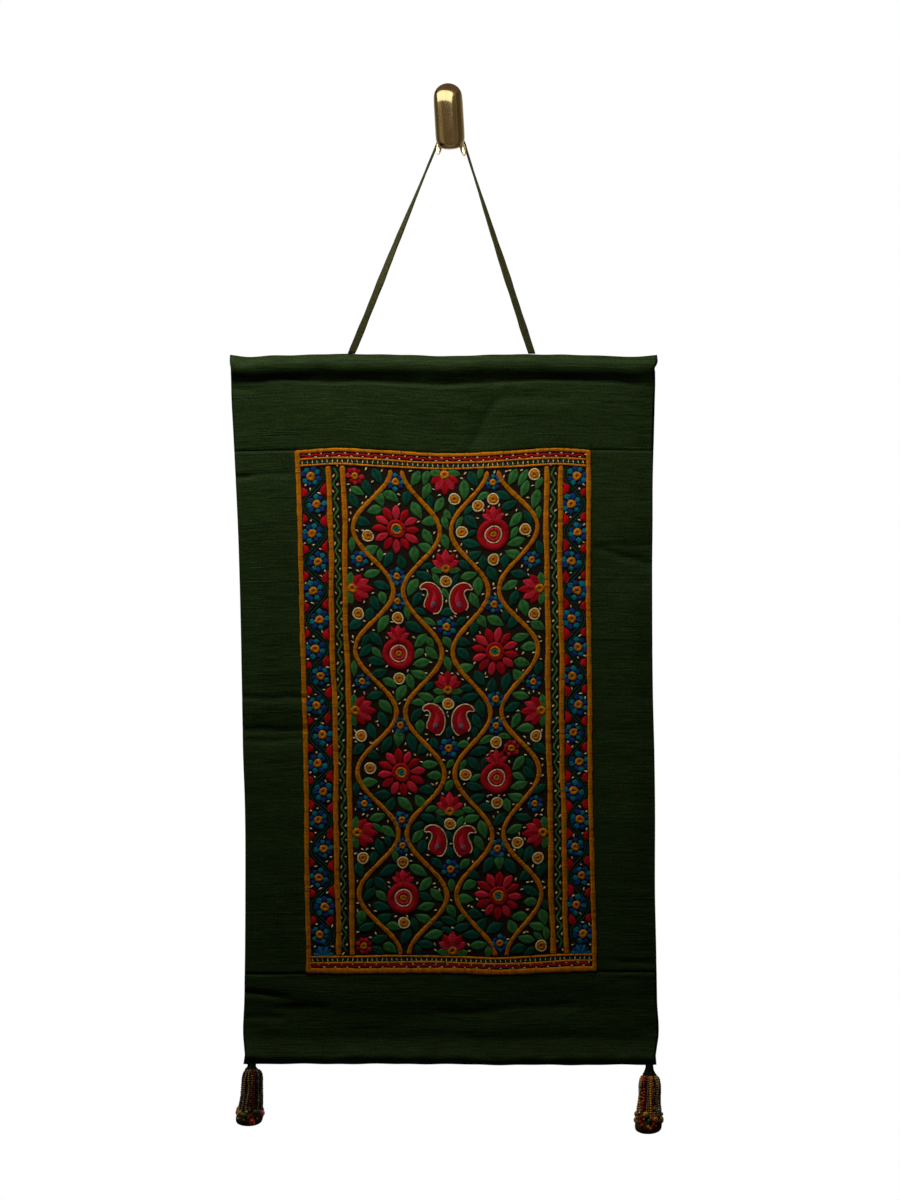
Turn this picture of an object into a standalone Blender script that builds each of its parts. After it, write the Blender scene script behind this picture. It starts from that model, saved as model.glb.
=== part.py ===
"""Embroidered cloth panel hanging by a tape from a capped brass wall hook.

A bordered embroidered cloth is framed by four pieces of dark green raw silk. The top and
bottom pieces are sewn into sleeves round a rod, a flat silk tape runs from the top sleeve
over the hook's saddle, and a beaded tassel hangs from each lower corner by a silk tie.

Frame: the origin is the middle of the hook's flat back, on the wall. +X points to the
viewer's right, +Z points up and the front of the panel faces -Y.
"""
import math

import bmesh
import bpy
import numpy as np

# Sizes in the tables are millimetres, and MM turns them into Blender's metres.
MM = 0.001
GAP = 0.3

# Heights on the panel are drops below the top edge, which hangs this far below the hook.
PANEL_TOP = -171.4
ROD_AXIS_DEPTH = 9.5
SILK_THICKNESS = 1.5
EMBROIDERED_THICKNESS = 1.8

# Cloth coordinates: u runs from the left edge to the right, v from the top edge down.
U_LEFT, U_EMBROIDERY_LEFT, U_EMBROIDERY_RIGHT, U_RIGHT = 0.0, 43.0, 255.0, 299.0
V_TOP, V_EMBROIDERY_TOP, V_EMBROIDERY_BOTTOM, V_BOTTOM = 0.0, 69.0, 445.0, 510.0

# The hanging cloth's side edges and the embroidery's side edges, at each drop.
# Columns: drop, left edge, embroidery's left, embroidery's right, right edge.
SIDES = (
    (0.0, -157.7, -111.9, 102.2, 149.8),
    (6.5, -157.5, -111.9, 102.2, 149.6),
    (9.4, -157.0, -111.9, 102.2, 148.0),
    (14.4, -157.0, -111.9, 102.2, 148.8),
    (20.9, -157.0, -111.8, 102.2, 148.6),
    (61.2, -155.2, -111.7, 102.2, 147.6),
    (90.0, -153.8, -110.0, 102.2, 146.9),
    (118.8, -152.4, -109.2, 102.2, 146.8),
    (176.4, -150.6, -108.0, 102.2, 146.5),
    (248.4, -149.2, -105.8, 103.0, 147.1),
    (284.4, -148.6, -105.1, 103.3, 148.0),
    (320.4, -147.3, -104.4, 103.7, 148.5),
    (392.4, -146.9, -103.7, 105.5, 148.6),
    (428.4, -147.1, -103.0, 106.6, 149.4),
    (464.4, -147.6, -103.0, 106.6, 150.0),
    (493.2, -148.1, -103.2, 106.4, 150.6),
    (501.8, -146.9, -103.2, 106.4, 148.8),
    (511.2, -148.2, -103.2, 106.4, 149.4),
)

# The four lines that cross the panel: how far down each lies at each u.
# Columns: u, top edge, upper seam, lower seam, bottom edge.
LINES = (
    (0.0, -0.3, 69.4, 445.8, 510.6),
    (11.0, 1.1, 69.2, 445.8, 510.6),
    (30.0, 0.0, 68.8, 445.7, 510.6),
    (43.0, -0.3, 68.6, 445.6, 510.6),
    (76.0, -0.9, 67.0, 445.4, 510.6),
    (90.0, -1.0, 67.6, 445.4, 510.6),
    (105.0, -0.8, 68.4, 445.3, 510.6),
    (148.0, 0.4, 70.6, 445.4, 510.8),
    (184.0, -0.3, 69.8, 446.4, 511.3),
    (206.0, -0.9, 68.4, 445.6, 511.3),
    (231.0, -0.5, 67.0, 444.3, 511.3),
    (255.0, 0.0, 68.2, 444.0, 511.3),
    (270.0, 0.3, 68.4, 444.1, 511.2),
    (286.0, 1.1, 68.7, 444.2, 511.1),
    (299.0, -0.3, 68.8, 444.4, 511.1),
)

# Each sleeve is a rod's round with two flat falls that meet at the sleeve's stitching.
TOP_ROUND_RADIUS, TOP_STITCHING = 7.9, 19.0
BOTTOM_ROUND_RADIUS, BOTTOM_STITCHING = 5.2, 16.2
ROUND_STEPS = 7
SLEEVE_LIP_ANGLE = 78.0

# Broad waves of the hanging cloth: middle u, middle v, half width, half height, forward.
WAVES = (
    (150.0, 27.0, 190.0, 7.0, 3.2),
    (60.0, 50.0, 50.0, 22.0, 0.8),
    (178.0, 50.0, 16.0, 24.0, -1.6),
    (232.0, 46.0, 34.0, 22.0, 1.2),
    (150.0, 250.0, 120.0, 190.0, 1.5),
    (292.0, 148.0, 26.0, 16.0, -2.0),
    (288.0, 190.0, 22.0, 26.0, 1.0),
    (14.0, 120.0, 22.0, 30.0, 1.2),
    (18.0, 272.0, 30.0, 12.0, -1.5),
    (284.0, 330.0, 26.0, 40.0, 1.2),
    (96.0, 462.0, 60.0, 10.0, 1.5),
    (150.0, 474.0, 46.0, 8.0, -1.8),
    (40.0, 471.0, 36.0, 8.0, -1.6),
    (236.0, 468.0, 50.0, 9.0, -1.2),
    (200.0, 484.0, 70.0, 7.0, 1.4),
)
SIDE_EDGE_CURL, SIDE_EDGE_REACH = 1.6, 9.0

# The flat tape. Its route's columns are x, y and z of its middle, and how many degrees its
# width has turned from lying across the panel to pointing at the wall.
TAPE_WIDTH, TAPE_THICKNESS = 5.2, 1.8
TAPE_STATIONS, TAPE_LEVEL_STATIONS = 66, 3.0
# The section's corners, as shares of half the width and half the thickness.
TAPE_SECTION = (
    (1.0, 0.5),
    (0.86, 1.0),
    (-0.86, 1.0),
    (-1.0, 0.5),
    (-1.0, -0.5),
    (-0.86, -1.0),
    (0.86, -1.0),
    (1.0, -0.5),
)
TAPE_ROUTE = (
    (-70.4, -9.5, -170.3, 0.0),
    (-64.5, -9.4, -156.2, 4.0),
    (-51.9, -9.2, -125.0, 18.0),
    (-42.1, -9.0, -100.4, 36.0),
    (-32.0, -8.8, -75.8, 58.0),
    (-21.8, -8.6, -51.2, 80.0),
    (-14.8, -8.5, -34.2, 90.0),
    (-10.4, -8.5, -23.7, 90.0),
    (-7.9, -8.5, -17.5, 90.0),
    (-5.7, -8.5, -14.2, 90.0),
    (-2.4, -8.5, -12.1, 90.0),
    (1.4, -8.5, -11.3, 90.0),
    (5.2, -8.5, -12.1, 90.0),
    (8.5, -8.5, -14.2, 90.0),
    (10.9, -8.5, -18.3, 90.0),
    (12.7, -8.5, -24.2, 90.0),
    (16.2, -8.6, -35.6, 90.0),
    (21.9, -8.7, -53.3, 78.0),
    (30.0, -8.9, -78.6, 56.0),
    (38.2, -9.1, -103.9, 34.0),
    (46.4, -9.3, -129.2, 16.0),
    (54.9, -9.4, -155.7, 4.0),
    (59.7, -9.5, -170.3, 0.0),
)

# The hook: a flat plate on the wall, a saddle that the tape lies on, and a capped front.
HOOK_LEAN = -3.3
PLATE_HALF_WIDTH, PLATE_HALF_HEIGHT, PLATE_THICKNESS = 8.0, 19.5, 2.2
SADDLE_CENTRE_X, SADDLE_CENTRE_Z = 1.4, -21.3
SADDLE_RADIUS, SADDLE_UNDERSIDE = 8.7, -18.6
CAP_AXIS_DEPTH, CAP_FRONT_DEPTH, CAP_BACK_DEPTH = 15.9, 8.6, 1.6
# The cap's outline, from its foot up: height and half width.
CAP_OUTLINE = (
    (-23.8, 2.6),
    (-23.3, 5.1),
    (-22.4, 7.0),
    (-21.2, 8.4),
    (-19.4, 9.6),
    (-16.6, 10.3),
    (-11.0, 10.5),
    (2.0, 10.5),
    (14.2, 10.3),
    (17.2, 9.7),
    (19.8, 8.3),
    (21.8, 6.3),
    (23.2, 3.7),
    (23.8, 1.4),
)
CAP_SIDES = 20

# A claw hangs from the saddle's underside. Its rings' columns: share of its length, how far
# outward of the hook's middle, how far in front of the wall, half width and half depth.
CLAW_SIDES = 10
CLAW_LEFT_LENGTH, CLAW_RIGHT_LENGTH = 8.5, 9.3
CLAW_RINGS = (
    (0.0, 7.9, 13.0, 1.7, 0.95),
    (0.14, 8.3, 13.0, 2.0, 1.0),
    (0.34, 8.6, 13.0, 2.1, 1.0),
    (0.54, 8.8, 13.1, 2.05, 1.05),
    (0.72, 9.0, 13.5, 1.75, 1.1),
    (0.86, 9.2, 14.0, 1.35, 1.1),
    (0.96, 9.3, 14.3, 0.85, 0.8),
    (1.0, 9.3, 14.4, 0.4, 0.4),
)

# The tassels: a thread skirt under a head, and beaded strands whose ends are larger.
TASSEL_STRANDS = 18
STRAND_HALF_WIDTH, END_BEAD_HALF_WIDTH = 0.85, 1.6
END_BEAD_LENGTH = 3.6
STRAND_ENDS = (31.0, 35.6, 33.3)
STRAND_STATIONS = (8.0, 16.0, 24.0)
TASSEL_DEPTH_SHARE = 0.92
# Drop below the tassel's top, and radius there, of its head, its skirt and its strands.
HEAD_RINGS = ((0.0, 3.8), (0.8, 5.8), (2.2, 6.9), (4.4, 7.5))
SKIRT_RINGS = ((4.8, 4.4), (16.0, 5.5), (30.0, 6.0), (35.4, 6.4), (37.0, 8.3),
               (38.6, 8.9), (40.2, 8.2), (41.5, 6.2), (42.4, 3.4))
STRAND_SPREAD = ((4.4, 6.7), (8.0, 7.2), (16.0, 7.35), (24.0, 8.0), (31.0, 8.6), (36.0, 8.5), (42.0, 8.1))
TASSEL_FRONT = 12.0

# Each tie is a gathered scrap of silk: drop below the sleeve, half width and half depth.
TIE_LEFT_RINGS = ((0.0, 3.5, 2.7), (1.2, 3.4, 2.8), (2.1, 3.7, 3.1), (2.9, 4.4, 3.5))
TIE_RIGHT_RINGS = ((0.0, 2.5, 2.3), (1.4, 2.7, 2.5), (3.9, 3.5, 3.1), (5.4, 4.4, 3.8), (6.6, 5.2, 4.4))
# Sideways place, tie and its shift, lean of the foot, and the strands' spread and length.
TASSEL_LEFT = {
    "x": -141.4,
    "tie": TIE_LEFT_RINGS,
    "tie_shift": -0.7,
    "lean": -2.2,
    "spread": 1.0,
    "long": 0.965,
}
TASSEL_RIGHT = {
    "x": 144.5,
    "tie": TIE_RIGHT_RINGS,
    "tie_shift": -0.3,
    "lean": -1.4,
    "spread": 1.03,
    "long": 1.0,
}
TIE_SIDES = 12

# Rows and columns of the solids' faces.
STRIP_COLUMNS, EMBROIDERED_COLUMNS = 4, 16
CLOTH_ROWS = 30
BAND_FALL_STEPS = (0.0, 0.07, 0.16, 0.32, 0.52, 0.76, 1.0)

COLOURS = {
    "green_silk": (0.020, 0.045, 0.012, 1.0),
    "embroidered_cotton": (0.11, 0.045, 0.020, 1.0),
    "glass_beads": (0.36, 0.20, 0.06, 1.0),
    "aged_brass": (0.42, 0.30, 0.13, 1.0),
    "polished_wire": (0.62, 0.58, 0.50, 1.0),
}
ROUGHNESS = {
    "green_silk": 0.62,
    "embroidered_cotton": 0.80,
    "glass_beads": 0.25,
    "aged_brass": 0.32,
    "polished_wire": 0.22,
}
METALS = ("aged_brass", "polished_wire")


def clear_scene():
    """Remove whatever the opened file holds."""
    for item in list(bpy.data.objects):
        bpy.data.objects.remove(item, do_unlink=True)


def material(name):
    """A Principled material with the named colour, roughness and metallic value."""
    made = bpy.data.materials.get(name)
    if made is None:
        made = bpy.data.materials.new(name)
        made.use_nodes = True
        shader = made.node_tree.nodes["Principled BSDF"]
        shader.inputs["Base Color"].default_value = COLOURS[name]
        shader.inputs["Roughness"].default_value = ROUGHNESS[name]
        shader.inputs["Metallic"].default_value = 1.0 if name in METALS else 0.0
    return made


def make_object(name, points, faces, finish, smooth_angle=40.0):
    """Turn points in millimetres and faces into one closed, outward-facing object."""
    mesh = bpy.data.meshes.new(name)
    shape = bmesh.new()
    vertices = [shape.verts.new(tuple(float(value) * MM for value in point)) for point in points]
    for face in faces:
        shape.faces.new([vertices[index] for index in face])
    bmesh.ops.recalc_face_normals(shape, faces=shape.faces)
    shape.to_mesh(mesh)
    shape.free()
    mesh.shade_smooth()
    mesh.set_sharp_from_angle(angle=math.radians(smooth_angle))
    mesh.materials.append(material(finish))
    made = bpy.data.objects.new(name, mesh)
    bpy.context.scene.collection.objects.link(made)
    return made


def read_row(table, position):
    """The table's later columns where its first column reaches the position."""
    columns = np.array(table).T
    return [float(np.interp(position, columns[0], later)) for later in columns[1:]]


def drop_at(u, v):
    """Drop of a cloth point: v is stretched between the four lines that cross the panel."""
    marks = (V_TOP, V_EMBROIDERY_TOP, V_EMBROIDERY_BOTTOM, V_BOTTOM)
    return float(np.interp(v, marks, read_row(LINES, u)))


def across_at(u, drop):
    """Sideways place of a cloth point: u is stretched between the four edges at its drop."""
    marks = (U_LEFT, U_EMBROIDERY_LEFT, U_EMBROIDERY_RIGHT, U_RIGHT)
    return float(np.interp(u, marks, read_row(SIDES, drop)))


def forward_at(u, v):
    """How far the cloth's middle swells forward of the rods: soft bumps, and curled edges."""
    swell = 0.0
    for wave_u, wave_v, half_width, half_height, forward in WAVES:
        spread = ((u - wave_u) / half_width) ** 2 + ((v - wave_v) / half_height) ** 2
        swell += forward * math.exp(-spread)
    to_edge = min(u - U_LEFT, U_RIGHT - u)
    curl = SIDE_EDGE_CURL * math.exp(-((to_edge / SIDE_EDGE_REACH) ** 2))
    to_top = np.clip((v - TOP_STITCHING) / 4.0, 0.0, 1.0)
    to_bottom = np.clip((V_BOTTOM - BOTTOM_STITCHING - v) / 6.0, 0.0, 1.0)
    return float((swell - curl) * to_top * to_bottom)


def cloth_point(u, v, offset):
    """A point of the hanging cloth, moved forward from its middle by the offset."""
    drop = drop_at(u, v)
    depth = ROD_AXIS_DEPTH + forward_at(u, v) + offset
    return across_at(u, drop), -depth, PANEL_TOP - drop


def sheet_faces(rows, columns):
    """Faces of a sheet whose front and back grids share one wall all round."""
    front = np.arange(rows * columns).reshape(rows, columns)
    back = front + rows * columns

    def between(first, second):
        """Faces between two lines of points."""
        return [tuple(corner) for corner in zip(first[:-1], first[1:], second[1:], second[:-1])]

    faces = []
    for row in range(rows - 1):
        faces += between(front[row + 1], front[row])
        faces += between(back[row], back[row + 1])
    for edge_front, edge_back in zip((front, front.T), (back, back.T)):
        for end in (0, -1):
            faces += between(edge_front[end], edge_back[end])
    return faces


def sheet(name, us, rows_front, rows_back, finish):
    """A sheet or sleeve from a front and a back point for each row and each u."""
    points = [place(u) for place in rows_front for u in us]
    points += [place(u) for place in rows_back for u in us]
    return make_object(name, points, sheet_faces(len(rows_front), len(us)), finish)


def plain_sheet(name, u_range, v_range, columns, rows, thickness, finish):
    """A piece of cloth between two us and two vs."""
    us = np.linspace(*u_range, columns + 1)
    vs = np.linspace(*v_range, rows + 1)
    front = [lambda u, v=v: cloth_point(u, v, thickness / 2) for v in vs]
    back = [lambda u, v=v: cloth_point(u, v, -thickness / 2) for v in vs]
    return sheet(name, us, front, back, finish)


def sleeve_point(u, edge_v, radius, upward, angle, side):
    """A point on a sleeve's round, at an angle above the rod's axis, in front or behind."""
    turn = math.radians(angle)
    edge_drop = drop_at(u, edge_v)
    axis_drop = edge_drop + upward * radius
    drop = axis_drop - upward * radius * math.sin(turn)
    depth = ROD_AXIS_DEPTH + side * radius * math.cos(turn)
    return across_at(u, drop), -depth, PANEL_TOP - drop


def band(name, us, edge_v, stitch_v, seam_v, radius, upward):
    """A silk band: its sleeve's round, the falls to the stitching, and the hanging cloth."""
    reach = abs(stitch_v - edge_v) - radius
    tangent = -math.degrees(math.asin(radius / reach))
    angles = np.linspace(SLEEVE_LIP_ANGLE, tangent, ROUND_STEPS)
    falls = [stitch_v + (seam_v - stitch_v) * share for share in BAND_FALL_STEPS]
    rows = {}
    for side in (1, -1):
        rounds = [lambda u, a=a, s=side: sleeve_point(u, edge_v, radius, upward, a, s) for a in angles]
        hangs = [lambda u, v=v, s=side: cloth_point(u, v, s * SILK_THICKNESS / 2) for v in falls]
        rows[side] = rounds + hangs
    return sheet(name, us, rows[1], rows[-1], "green_silk")


def smooth_route(route, stations):
    """Even stations on a Catmull-Rom curve through the rows of a route."""
    knots = np.array(route, dtype=float)
    padded = np.vstack((2 * knots[0] - knots[1], knots, 2 * knots[-1] - knots[-2]))
    steps = np.linspace(0.0, 1.0, 24, endpoint=False)[:, None]
    pieces = []
    for index in range(len(knots) - 1):
        before, start, end, after = padded[index : index + 4]
        cubic = 3 * start - before - 3 * end + after
        square = 2 * before - 5 * start + 4 * end - after
        pieces.append(start + 0.5 * steps * (end - before + steps * (square + steps * cubic)))
    fine = np.vstack(pieces + [knots[-1:]])
    lengths = np.concatenate(([0.0], np.cumsum(np.linalg.norm(np.diff(fine[:, :3], axis=0), axis=1))))
    marks = np.linspace(0.0, lengths[-1], stations)
    return np.stack([np.interp(marks, lengths, fine[:, index]) for index in range(knots.shape[1])], axis=1)


def loft_faces(rings, sides):
    """Faces between rings of equal size, with a flat cap on each end."""
    faces = []
    for ring in range(rings - 1):
        for side in range(sides):
            after = (side + 1) % sides
            base, upper = ring * sides, (ring + 1) * sides
            faces.append((base + side, base + after, upper + after, upper + side))
    faces.append(tuple(range(sides)))
    faces.append(tuple((rings - 1) * sides + side for side in range(sides)))
    return faces


def hanging_tape():
    """The flat tape, with a quarter turn on each strand and level ends on the sleeve."""
    stations = smooth_route(TAPE_ROUTE, TAPE_STATIONS)
    places = stations[:, :3]
    along = np.gradient(places, axis=0)
    along /= np.linalg.norm(along, axis=1)[:, None]
    flat = np.cross(along, (0.0, 1.0, 0.0))
    flat /= np.linalg.norm(flat, axis=1)[:, None]
    from_end = np.minimum(np.arange(TAPE_STATIONS), np.arange(TAPE_STATIONS)[::-1])
    level = np.clip(1.0 - from_end / TAPE_LEVEL_STATIONS, 0.0, 1.0)[:, None]
    sideways = np.array((1.0, 0.0, 0.0)) * np.sign(flat[:, :1])
    flat = flat * (1.0 - level) + sideways * level
    turn = np.radians(stations[:, 3])[:, None]
    wide = np.cos(turn) * flat + np.sin(turn) * np.array((0.0, 1.0, 0.0))
    upright = np.where(level > 0.5, np.sign(along[:, 2:3]) * np.array((0.0, 0.0, 1.0)), along)
    thick = np.cross(upright, wide)
    thick /= np.linalg.norm(thick, axis=1)[:, None]
    points = []
    for place, width, thickness in zip(places, wide, thick):
        for a, b in TAPE_SECTION:
            points.append(place + width * a * TAPE_WIDTH / 2 + thickness * b * TAPE_THICKNESS / 2)
    return make_object("hanging_tape", points, loft_faces(TAPE_STATIONS, len(TAPE_SECTION)), "green_silk")


def extruded(name, outline, y_front, y_back, finish):
    """A flat outline in X and Z given a thickness in Y."""
    points = [(x, y_front, z) for x, z in outline] + [(x, y_back, z) for x, z in outline]
    return make_object(name, points, loft_faces(2, len(outline)), finish)


def hook_plate():
    """The flat wall plate, a tall shape with round ends."""
    straight = PLATE_HALF_HEIGHT - PLATE_HALF_WIDTH
    outline = []
    for end, start_angle in ((1, 0.0), (-1, 180.0)):
        for step in range(9):
            angle = math.radians(start_angle + step * 180.0 / 8)
            x, rise = PLATE_HALF_WIDTH * math.cos(angle), PLATE_HALF_WIDTH * math.sin(angle)
            outline.append((x, end * straight + rise))
    return extruded("hook_plate", outline, -PLATE_THICKNESS, 0.0, "polished_wire")


def hook_saddle():
    """The round-topped saddle that stands out from the plate and carries the tape."""
    reach = math.degrees(math.asin((SADDLE_UNDERSIDE - SADDLE_CENTRE_Z) / SADDLE_RADIUS))
    outline = []
    for angle in np.radians(np.linspace(reach, 180.0 - reach, 15)):
        x, rise = SADDLE_RADIUS * math.cos(angle), SADDLE_RADIUS * math.sin(angle)
        outline.append((SADDLE_CENTRE_X + x, SADDLE_CENTRE_Z + rise))
    front = -(CAP_AXIS_DEPTH - CAP_BACK_DEPTH - GAP)
    return extruded("hook_saddle", outline, front, -(PLATE_THICKNESS + GAP), "polished_wire")


def lean(x, z):
    """Turn a place on the hook's front by the small lean that it hangs with."""
    angle = math.radians(HOOK_LEAN)
    return x * math.cos(angle) + z * math.sin(angle), z * math.cos(angle) - x * math.sin(angle)


def hook_cap():
    """The domed brass cap: rounded rings, deeper in front than behind, up its outline."""
    widest = max(half_width for height, half_width in CAP_OUTLINE)
    points = []
    for height, half_width in CAP_OUTLINE:
        share = (half_width / widest) ** 0.8
        for side in range(CAP_SIDES):
            angle = 2 * math.pi * side / CAP_SIDES
            depth = CAP_FRONT_DEPTH * share if math.sin(angle) < 0 else CAP_BACK_DEPTH * min(1.0, share * 1.2)
            x, z = lean(half_width * math.cos(angle), height)
            points.append((x, -CAP_AXIS_DEPTH + depth * math.sin(angle), z))
    return make_object("hook_cap", points, loft_faces(len(CAP_OUTLINE), CAP_SIDES), "aged_brass", 60.0)


def hook_claw(name, side, length):
    """A polished foot, oval in section, that widens and then narrows to a rounded toe."""
    points = []
    for share, outward, depth, half_width, half_depth in CLAW_RINGS:
        z = SADDLE_UNDERSIDE - GAP - share * length
        middle_x = lean(side * outward, z)[0]
        for step in range(CLAW_SIDES):
            angle = 2 * math.pi * step / CLAW_SIDES
            x = middle_x + half_width * math.cos(angle)
            points.append((x, -depth + half_depth * math.sin(angle), z))
    return make_object(name, points, loft_faces(len(CLAW_RINGS), CLAW_SIDES), "polished_wire", 60.0)


def sleeve_underside(x):
    """Height of the bottom sleeve's underside at a sideways place."""
    u = np.interp(x, (SIDES[-1][1], SIDES[-1][4]), (U_LEFT, U_RIGHT))
    return PANEL_TOP - drop_at(u, V_BOTTOM)


def tie(name, place):
    """A gathered silk tie between the sleeve's underside and a tassel's head."""
    top = sleeve_underside(place["x"]) - GAP
    points = []
    for drop, half_width, half_depth in place["tie"]:
        for step in range(TIE_SIDES):
            angle = 2 * math.pi * step / TIE_SIDES
            x = place["x"] + place["tie_shift"] + half_width * math.cos(angle)
            points.append((x, -TASSEL_FRONT + half_depth * math.sin(angle), top - drop))
    return make_object(name, points, loft_faces(len(place["tie"]), TIE_SIDES), "green_silk", 60.0)


class Tassel:
    """Points and faces of one tassel, grown from its head ring by ring."""

    def __init__(self, place):
        self.place = place
        self.top = sleeve_underside(place["x"]) - GAP - place["tie"][-1][0] - GAP
        self.points = []
        self.faces = []

    def add(self, radius, angle, drop):
        """Add a point at a radius and angle round the tassel's leaning axis."""
        lean_share = (drop / SKIRT_RINGS[-1][0]) ** 2
        x = self.place["x"] + self.place["lean"] * lean_share + radius * math.cos(angle)
        y = -TASSEL_FRONT + TASSEL_DEPTH_SHARE * radius * math.sin(angle)
        self.points.append((x, y, self.top - drop * self.place["long"]))
        return len(self.points) - 1

    def join(self, lower, upper):
        """Close the wall between two rings of equal size."""
        sides = len(lower)
        for side in range(sides):
            after = (side + 1) % sides
            self.faces.append((lower[side], lower[after], upper[after], upper[side]))

    def strand(self, root, middle_angle, end):
        """A strand of four sides from its root on the head, with a larger bead at its end."""
        swell = (
            (end - END_BEAD_LENGTH, STRAND_HALF_WIDTH),
            (end - END_BEAD_LENGTH * 0.72, END_BEAD_HALF_WIDTH),
            (end - END_BEAD_LENGTH * 0.28, END_BEAD_HALF_WIDTH),
            (end, STRAND_HALF_WIDTH * 0.8),
        )
        stations = [(drop, STRAND_HALF_WIDTH) for drop in STRAND_STATIONS] + list(swell)
        lower = root
        for drop, half in stations:
            radius = read_row(STRAND_SPREAD, drop)[0] * self.place["spread"]
            spread = half / radius
            corners = ((-half, -spread), (half, -spread), (half, spread), (-half, spread))
            upper = [self.add(radius + out, middle_angle + around, drop) for out, around in corners]
            self.join(lower, upper)
            lower = upper
        self.faces.append(tuple(lower))


def tassel(name, place):
    """A thread skirt and its beaded strands, which grow out of one head."""
    made = Tassel(place)
    pitch = 2 * math.pi / TASSEL_STRANDS
    half_root = pitch * 0.32
    angles = []
    for index in range(TASSEL_STRANDS):
        angles += [index * pitch - half_root, index * pitch + half_root]
    rings = [[made.add(radius, angle, drop) for angle in angles] for drop, radius in HEAD_RINGS]
    made.faces.append(tuple(rings[0]))
    for lower, upper in zip(rings, rings[1:]):
        made.join(lower, upper)
    outer = rings[-1]
    skirt = [[made.add(radius, angle, drop) for angle in angles] for drop, radius in SKIRT_RINGS]
    inner = skirt[0]
    for index in range(TASSEL_STRANDS):
        first, second = 2 * index, 2 * index + 1
        after = (second + 1) % len(angles)
        root = [inner[first], outer[first], outer[second], inner[second]]
        made.strand(root, index * pitch, STRAND_ENDS[index % len(STRAND_ENDS)])
        made.faces.append((inner[second], outer[second], outer[after], inner[after]))
    for lower, upper in zip(skirt, skirt[1:]):
        made.join(lower, upper)
    made.faces.append(tuple(skirt[-1]))
    return make_object(name, made.points, made.faces, "glass_beads")


def build():
    """Make every piece of the hanging."""
    clear_scene()
    lines_u = np.array([row[0] for row in LINES])
    band_us = np.sort(np.concatenate((lines_u, (lines_u[:-1] + lines_u[1:]) / 2)))
    bottom_stitch = V_BOTTOM - BOTTOM_STITCHING
    band("silk_top_band", band_us, V_TOP, TOP_STITCHING, V_EMBROIDERY_TOP - GAP / 2, TOP_ROUND_RADIUS, 1)
    band("silk_bottom_band", band_us, V_BOTTOM, bottom_stitch, V_EMBROIDERY_BOTTOM + GAP / 2,
         BOTTOM_ROUND_RADIUS, -1)
    middle = (V_EMBROIDERY_TOP + GAP / 2, V_EMBROIDERY_BOTTOM - GAP / 2)
    left = (U_LEFT, U_EMBROIDERY_LEFT - GAP / 2)
    centre = (U_EMBROIDERY_LEFT + GAP / 2, U_EMBROIDERY_RIGHT - GAP / 2)
    right = (U_EMBROIDERY_RIGHT + GAP / 2, U_RIGHT)
    plain_sheet("silk_left_strip", left, middle, STRIP_COLUMNS, CLOTH_ROWS, SILK_THICKNESS, "green_silk")
    plain_sheet("silk_right_strip", right, middle, STRIP_COLUMNS, CLOTH_ROWS, SILK_THICKNESS, "green_silk")
    plain_sheet("embroidered_cloth", centre, middle, EMBROIDERED_COLUMNS, CLOTH_ROWS,
                EMBROIDERED_THICKNESS, "embroidered_cotton")
    hanging_tape()
    hook_plate()
    hook_saddle()
    hook_cap()
    hook_claw("hook_claw_left", -1, CLAW_LEFT_LENGTH)
    hook_claw("hook_claw_right", 1, CLAW_RIGHT_LENGTH)
    tie("tassel_tie_left", TASSEL_LEFT)
    tie("tassel_tie_right", TASSEL_RIGHT)
    tassel("tassel_left", TASSEL_LEFT)
    tassel("tassel_right", TASSEL_RIGHT)


build()
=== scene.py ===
# %% [markdown]
# # An embroidered cloth in a raw silk frame, hung on a brass hook
# The solids of the panel are already in place. This notebook dresses them: it carries the real
# weave, the raised stitches, the beads and the polished metal, and never moves or resizes them.
# Sizes are millimetres in the tables below, and `MM` turns them into Blender's metres.

# %% Load the fixed frame
import itertools
import math
import bpy
import numpy as np
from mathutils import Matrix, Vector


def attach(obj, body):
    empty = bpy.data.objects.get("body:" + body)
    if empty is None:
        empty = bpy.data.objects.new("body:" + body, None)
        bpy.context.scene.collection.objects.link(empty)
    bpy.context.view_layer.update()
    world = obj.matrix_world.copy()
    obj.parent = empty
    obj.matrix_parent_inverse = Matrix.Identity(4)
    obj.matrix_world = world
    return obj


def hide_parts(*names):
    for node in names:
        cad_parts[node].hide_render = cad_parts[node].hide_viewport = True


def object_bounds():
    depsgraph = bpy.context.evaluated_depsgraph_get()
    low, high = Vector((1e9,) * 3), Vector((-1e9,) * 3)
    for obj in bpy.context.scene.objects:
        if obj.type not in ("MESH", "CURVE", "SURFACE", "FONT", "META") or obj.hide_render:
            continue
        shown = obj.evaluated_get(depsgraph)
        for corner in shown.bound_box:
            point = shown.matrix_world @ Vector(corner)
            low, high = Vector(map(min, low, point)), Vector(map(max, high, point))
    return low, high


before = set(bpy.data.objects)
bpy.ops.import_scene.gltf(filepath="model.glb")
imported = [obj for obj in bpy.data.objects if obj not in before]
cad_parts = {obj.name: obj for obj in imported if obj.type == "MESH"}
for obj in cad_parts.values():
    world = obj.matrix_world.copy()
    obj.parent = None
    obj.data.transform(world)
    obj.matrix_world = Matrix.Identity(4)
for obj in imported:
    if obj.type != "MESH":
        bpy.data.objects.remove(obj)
cad_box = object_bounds()
MM = 0.001
print("solids to dress:", sorted(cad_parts))

# %% [markdown]
# ## Camera, light and floor
# The panel is seen straight on from three metres with a long lens, so its edges stay parallel.
# It could be lit by one lamp, but cloth needs soft light from high in front: that grazes down
# the panel, models every raised stitch and fades towards the foot. The world is white only for
# the camera, so the dark silk isn't washed out by light from all round.

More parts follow.
